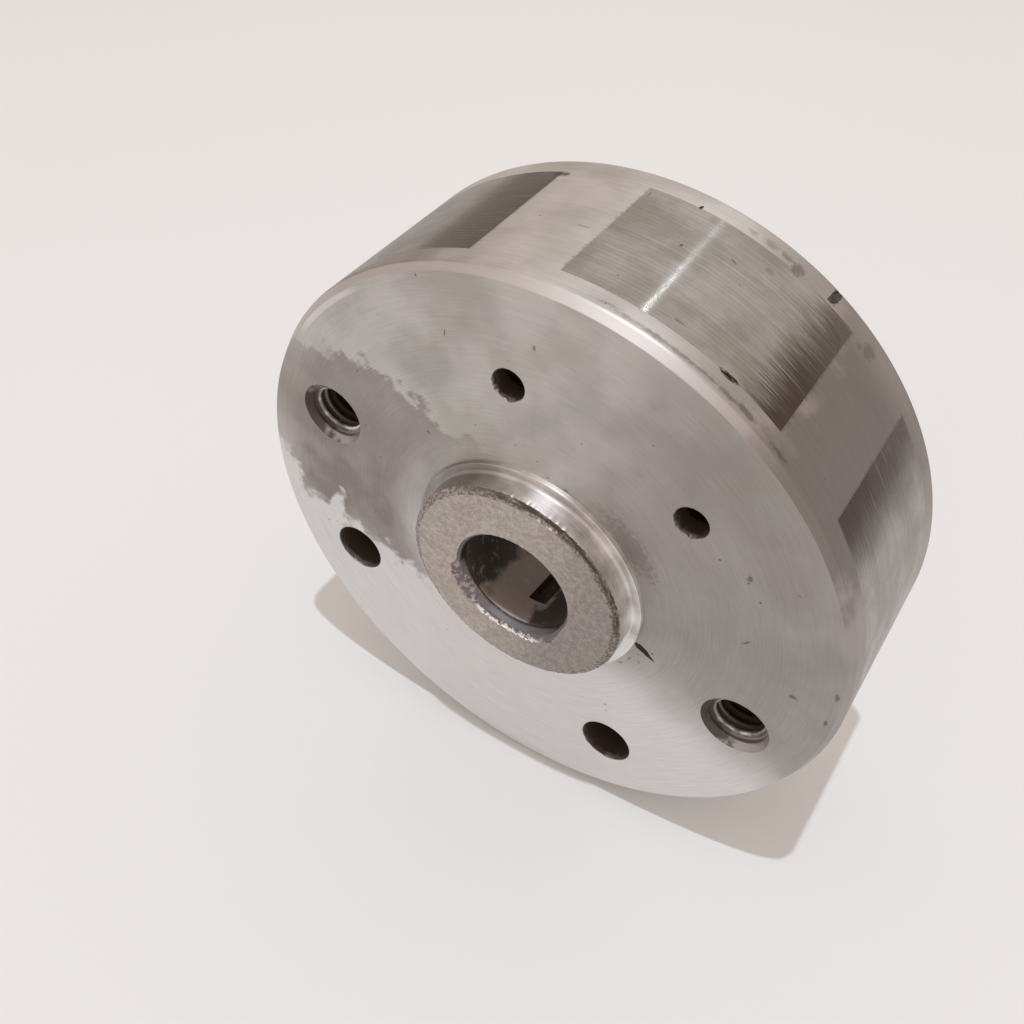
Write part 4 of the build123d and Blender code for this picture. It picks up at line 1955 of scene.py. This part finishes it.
@dataclass
class HubSleeve:
    """The steel hub: its boss, shoulder, battered bore and key slot.

    Attributes:
        wheel: the wheel's shared sizes.
        finishes: turned side, weathered face, rough bevel, chipped mouth and bore, in that order.
        grime: finish of the key slot.
        boss_radius: radius of the boss.
        bevel_depth: how far the boss's bevel cuts in.
        bevel_length: how far the bevel reaches back.
        shoulder_height: how far the shoulder stands out of the face.
        fillet: radius of the fillet at the foot of the boss.
        bore_radius: radius of the straight bore.
        mouth_ease: how far the edge of the mouth is rounded over.
        chamfer_depth: how deep the worn chamfer goes where the mouth is crushed.
        lip_depth: how deep the ragged lip goes there.
        crushed: how far the lip is crushed outwards, as angles with distances.
        taper_depth: how far behind the face the taper starts.
        taper_ratio: length of the taper over its change in diameter.
        rear_bevel: size of the bevel at the rear mouth.
        key_width: width of the key slot.
        key_depth: its depth.
        key_angle: its angle round the wheel.
        tear: how far the boss's bevel is torn in and out.
        tear_height: how far it is torn up and down.
        around: how many steps the mesh takes round the axis.
    """

    wheel: Wheel
    finishes: list[Material]
    grime: Material
    boss_radius: float = 11.5
    bevel_depth: float = 0.75
    bevel_length: float = 0.42
    shoulder_height: float = 0.5
    fillet: float = 0.35
    bore_radius: float = 6.0
    mouth_ease: float = 0.3
    chamfer_depth: float = 1.15
    lip_depth: float = 0.34
    crushed: tuple[tuple[float, float], ...] = (
        (106.0, 0.0), (126.0, 1.0), (150.0, 0.85), (168.0, 0.6), (200.0, 0.55), (220.0, 0.8), (236.0, 0.7),
        (262.0, 0.0))
    taper_depth: float = 1.05
    taper_ratio: float = 5.0
    rear_bevel: float = 0.4
    key_width: float = 2.0
    key_depth: float = 1.1
    key_angle: float = 204.5
    tear: float = 0.07
    tear_height: float = 0.05
    around: int = 480

    @property
    def taper_top(self) -> float:
        """Height at which the taper ends and the straight bore starts."""
        return self.wheel.width - self.taper_depth

    @property
    def taper_radius(self) -> float:
        """Radius of the taper at the rear face."""
        return self.bore_radius + self.taper_top / (2 * self.taper_ratio)

    def battered(self, radius: float, angle: float, height: float) -> tuple[float, float]:
        """Move a point of the hub as its wear has: a crushed mouth below and a rough bevel.

        Args:
            radius: the point's radius.
            angle: its angle round the wheel.
            height: its height.

        Returns:
            Its new radius and height.
        """
        top = self.wheel.boss_top
        turn = math.radians(angle)
        spot = Vector((math.cos(turn), math.sin(turn), 0.0))
        if radius > self.boss_radius - self.bevel_depth - 0.2:
            if radius <= self.boss_radius + 0.05 and height > top - self.bevel_length - 0.12:
                share = smoothstep(0.0, 0.2, top - height) + 0.25
                radius += self.tear * share * noise.fractal(spot * 30.0, 0.6, 2.0, 3)
                pattern = spot * 26.0 + Vector((7.0, radius, 0.0))
                height += self.tear_height * noise.fractal(pattern, 0.6, 2.0, 3)
            return radius, height
        fall = top - height
        if fall > self.chamfer_depth:
            return radius, height
        jag = noise.fractal(spot * 15.0, 0.7, 2.1, 4)
        chip = noise.fractal(Vector((spot.x * 22.0, spot.y * 22.0, height * 3.0)), 0.7, 2.0, 3)
        crush = self.crush(angle)
        lip = self.bore_radius + self.mouth_ease + crush * (1.0 + 0.45 * jag)
        mouth = self.bore_radius + self.mouth_ease
        if radius >= mouth - 1e-6:
            reach = smoothstep(mouth + 3.0, mouth, radius)
            return radius + (lip - mouth) * reach + 0.04 * reach * jag, height
        inner = self.bore_radius + 0.75 * crush * (1.0 - fall / self.chamfer_depth)
        share = smoothstep(self.lip_depth, 0.0, fall)
        widest = max(inner, radius) + (lip - max(inner, radius)) * share
        return widest + min(crush, 0.4) * 0.22 * chip * smoothstep(self.lip_depth * 1.6, 0.1, fall), height

    def crush(self, angle: float) -> float:
        """How far the lip of the mouth is crushed outwards at an angle.

        Args:
            angle: the angle round the wheel.

        Returns:
            The distance, 0 where the mouth is whole.
        """
        turn = angle % 360.0
        for (start, near), (end, far) in zip(self.crushed, self.crushed[1:]):
            if start <= turn <= end:
                return near + (far - near) * smoothstep(start, end, turn)
        return 0.0

    def blank(self) -> Piece:
        """Turn and bore the sleeve, with its battered mouth.

        Returns:
            The sleeve without its key slot.
        """
        shoulder_top = self.wheel.width + self.shoulder_height
        top, joint = self.wheel.boss_top, self.wheel.joint_radius
        side, face, bevel, chips, bore = range(len(self.finishes))
        corners = [
            Corner(self.taper_radius + self.rear_bevel, 0.0, 0.0, side),
            Corner(joint, 0.0, 0.0, side, 4.0),
            Corner(joint, shoulder_top, 0.1, side),
            Corner(self.boss_radius + self.fillet, shoulder_top, 0.03, side),
        ]
        fillet_steps = 8
        for step in range(1, fillet_steps):
            turn = math.radians(90.0 * step / fillet_steps)
            corners.append(Corner(
                self.boss_radius + self.fillet * (1 - math.sin(turn)),
                shoulder_top + self.fillet * (1 - math.cos(turn)), 0.0, side))
        corners += [
            Corner(self.boss_radius, shoulder_top + self.fillet, 0.0, side, 0.4),
            Corner(self.boss_radius, top - self.bevel_length, 0.05, bevel, 0.09),
            Corner(self.boss_radius - self.bevel_depth, top, 0.06, face, 0.3),
            Corner(self.bore_radius + self.mouth_ease, top, 0.0, chips, 0.05),
            Corner(self.bore_radius, top - self.lip_depth, 0.0, chips, 0.1),
            Corner(self.bore_radius, top - self.chamfer_depth, 0.0, bore, 2.0),
            Corner(self.bore_radius, self.taper_top, 0.0, bore, 2.0),
            Corner(self.taper_radius, self.rear_bevel, 0.0, bore),
        ]
        return turned_piece(
            "hub_sleeve", outline_rings(corners), self.around, self.wheel.place, self.finishes, self.battered)

    def slot_tool(self) -> Piece:
        """The tool for the key slot, which stops where the taper does.

        Returns:
            The tool.
        """
        out = self.wheel.outward(self.key_angle)
        beside = FRONTWARD.cross(out)
        half = self.key_width / 2
        overrun = 1.0
        profile = [
            (0.0, -overrun),
            (self.taper_radius + self.key_depth + overrun / (2 * self.taper_ratio), -overrun),
            (self.bore_radius + self.key_depth, self.taper_top),
            (0.0, self.taper_top),
        ]
        outline = [(out * radius - beside * half + FRONTWARD * height) * MM for radius, height in profile]
        # The slot is lined near black: painted shade in the deep slot.
        return prism("key_slot", outline, beside * self.key_width * MM, self.grime)

    def build(self) -> Piece:
        """Build the hub.

        Returns:
            The hub, with its key slot cut, and shaded.
        """
        sleeve = self.blank()
        cut_away(sleeve, [self.slot_tool()])
        shade(sleeve, 40.0)
        return sleeve


@dataclass
class CastInPieces:
    """What is sealed inside the casting: it keeps its shape from the frame and gets its real metal.

    Attributes:
        wheel: the wheel's shared sizes.
        core: metal of the ring on the hub.
        magnet: metal of the magnets.
        plate: metal of the side plates.
        rivet: metal of the rivets.
        weight: metal of the balance weight.
    """

    wheel: Wheel
    core: CastInMetal = CastInMetal("annealed_soft_iron")
    magnet: CastInMetal = CastInMetal("ground_cast_alnico", "#7b7a7c", "#5c5b5e", 0.5, 0.4)
    plate: CastInMetal = CastInMetal("stamped_sheet_brass", "#b39a5c", "#8c753f", 3.0, 0.4, 0.01)
    rivet: CastInMetal = CastInMetal("drawn_steel_wire", "#a5a19d", "#84807c", 0.4, 0.4)
    weight: CastInMetal = CastInMetal("sand_cast_grey_iron", "#605c59", "#45413e", 0.6, 0.75, 0.12)

    def build(self) -> list[str]:
        """Dress the nodes; the core comes first, because its name starts like the magnets' names.

        Returns:
            The names of the nodes that were dressed.
        """
        metals = {
            "magnet_core": self.core, "magnet_": self.magnet, "side_plate": self.plate,
            "pole_rivet": self.rivet, "balance_weight": self.weight,
        }
        dressed = []
        for start, metal in metals.items():
            material = metal.build(self.wheel)
            for name, node in frame["nodes"].items():
                if name.startswith(start) and name not in dressed:
                    node.data.materials.clear()
                    node.data.materials.append(material)
                    dressed.append(name)
        return dressed


@dataclass
class Studio:
    """The pale table, the room, its lamp and the camera.

    Attributes:
        wheel: the wheel's shared sizes.
        camera_spot: where the camera stands.
        camera_azimuth: the way it looks, turned from +Y.
        camera_elevation: how far it looks down.
        lens: its focal length.
        lamp_spot: where the lamp hangs.
        lamp_size: the length of its side.
        lamp_power: its power in watts.
        lamp_colour: its colour.
        sky: colour of the room.
        sky_level: how strongly the room lights the wheel.
        table_size: the length of the table top's side.
    """

    wheel: Wheel
    camera_spot: tuple[float, float, float] = (37.843, -82.144, 80.525)
    camera_azimuth: float = 32.85
    camera_elevation: float = 45.32
    lens: float = 39.27
    lamp_spot: tuple[float, float, float] = (43.5, -96.0, 632.0)
    lamp_size: float = 11.0
    lamp_power: float = 1.9
    lamp_colour: str = "#e4eefa"
    sky: str = "#ecdfd6"
    sky_level: float = 0.98
    table_size: float = 3000.0

    def camera(self) -> None:
        """Set up the camera, where the wheel's circles in the picture put it."""
        data = bpy.data.cameras.new("camera")
        data.lens = self.lens
        data.sensor_width = 36.0
        data.clip_start = 0.005
        camera = bpy.data.objects.new("camera", data)
        camera.location = Vector(self.camera_spot) * MM
        tilt = math.radians(90.0 - self.camera_elevation)
        camera.rotation_euler = (tilt, 0.0, math.radians(self.camera_azimuth))
        bpy.context.scene.collection.objects.link(camera)
        bpy.context.scene.camera = camera

    def lamp(self) -> None:
        """Hang the one small square lamp, which points at the wheel."""
        data = bpy.data.lights.new("ceiling_lamp", "AREA")
        data.shape = "SQUARE"
        data.size = self.lamp_size * MM
        data.energy = self.lamp_power
        data.color = linear(self.lamp_colour)[:3]
        lamp = bpy.data.objects.new("ceiling_lamp", data)
        lamp.location = Vector(self.lamp_spot) * MM
        lamp.rotation_euler = (-lamp.location).to_track_quat("-Z", "Y").to_euler()
        bpy.context.scene.collection.objects.link(lamp)

    def room(self) -> None:
        """Set up the pale room, which the camera and the metal see brighter than it lights."""
        world = bpy.data.worlds.new("pale_room")
        world.use_nodes = True
        world.node_tree.nodes.clear()
        add = Graph(world.node_tree).add
        seen = add("LightPath", out="Is Camera Ray")
        mirrored = add("LightPath", out="Is Glossy Ray")
        through = add("LightPath", out="Is Transmission Ray")
        shown = add("Math", {0: seen, 1: mirrored}, operation="MAXIMUM")
        shown = add("Math", {0: shown, 1: through}, operation="MAXIMUM")
        level = add("MapRange", {"Value": shown, "To Min": self.sky_level})
        sky = add("Background", {"Color": linear(self.sky), "Strength": level})
        add("OutputWorld", {"Surface": sky})
        bpy.context.scene.world = world

    def floor(self) -> Piece:
        """Make the table top, level with the lowest point of the rim.

        Returns:
            The table top.
        """
        half = self.table_size / 2 * MM
        level = -self.wheel.floor * MM
        corners = [(-half, -half), (half, -half), (half, half), (-half, half)]
        mesh = bmesh.new()
        mesh.faces.new([mesh.verts.new((x, y, level)) for x, y in corners])
        return to_object("table_top", mesh, [FloorPaint().build(self.wheel)])

    def build(self) -> None:
        """Set up the whole studio."""
        bpy.context.scene.view_settings.view_transform = "Standard"
        self.camera()
        self.room()
        self.floor()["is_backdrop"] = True
        self.lamp()


def ride_and_report(piece: Piece, replaced: Sequence[str] = ()) -> None:
    """Fix a piece to the wheel and report it.

    Args:
        piece: the piece.
        replaced: the nodes that it stands for.
    """
    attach(piece, "root")
    if replaced:
        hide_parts(*replaced)
    LOG.info("%s: %d faces", piece.name, len(piece.data.polygons))


def main() -> None:
    """Build the flywheel, its finishes and the studio round it."""
    logging.basicConfig(level=logging.INFO, format="%(name)s %(message)s", stream=sys.stdout)
    record = frame["record"]
    wheel = Wheel.from_frame(record)
    Studio(wheel).build()
    face, rim = TurnedFace().build(wheel), TurnedRim().build(wheel)
    lining, grime = DrilledAluminium().build(wheel), PackedGrime().build(wheel)
    tapped = TappedAluminium().build(wheel)
    shoes = SheetStack(wheel, TurnedSheets().build(wheel))
    casting = Casting(wheel, face, rim, lining, tapped, grime, shoes)
    ride_and_report(casting.build(record), ["cast_body"])
    stacking = shoes.stacking_tree()
    for pole in Pole:
        ride_and_report(shoes.build(pole, stacking), [f"pole_shoe_{pole.word}"])
    hub_finishes = [
        finish.build(wheel)
        for finish in (TurnedSteel(), WeatheredSteel(), RoughBevel(), ChippedSteel(), ReamedBore())
    ]
    ride_and_report(HubSleeve(wheel, hub_finishes, grime).build(), ["hub"])
    thread = PullerThread(wheel, tapped)
    helix = thread.helix_tree()
    for side in ("left", "right"):
        hole = mount(record, f"puller_hole_{side}")
        ride_and_report(thread.build(f"puller_thread_{side}", hole, helix))
    for name in CastInPieces(wheel).build():
        LOG.info("%s: dressed", name)
    [[list(corner) for corner in box] for box in (CAD_BOX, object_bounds())]


if __name__ == "__main__":
    main()
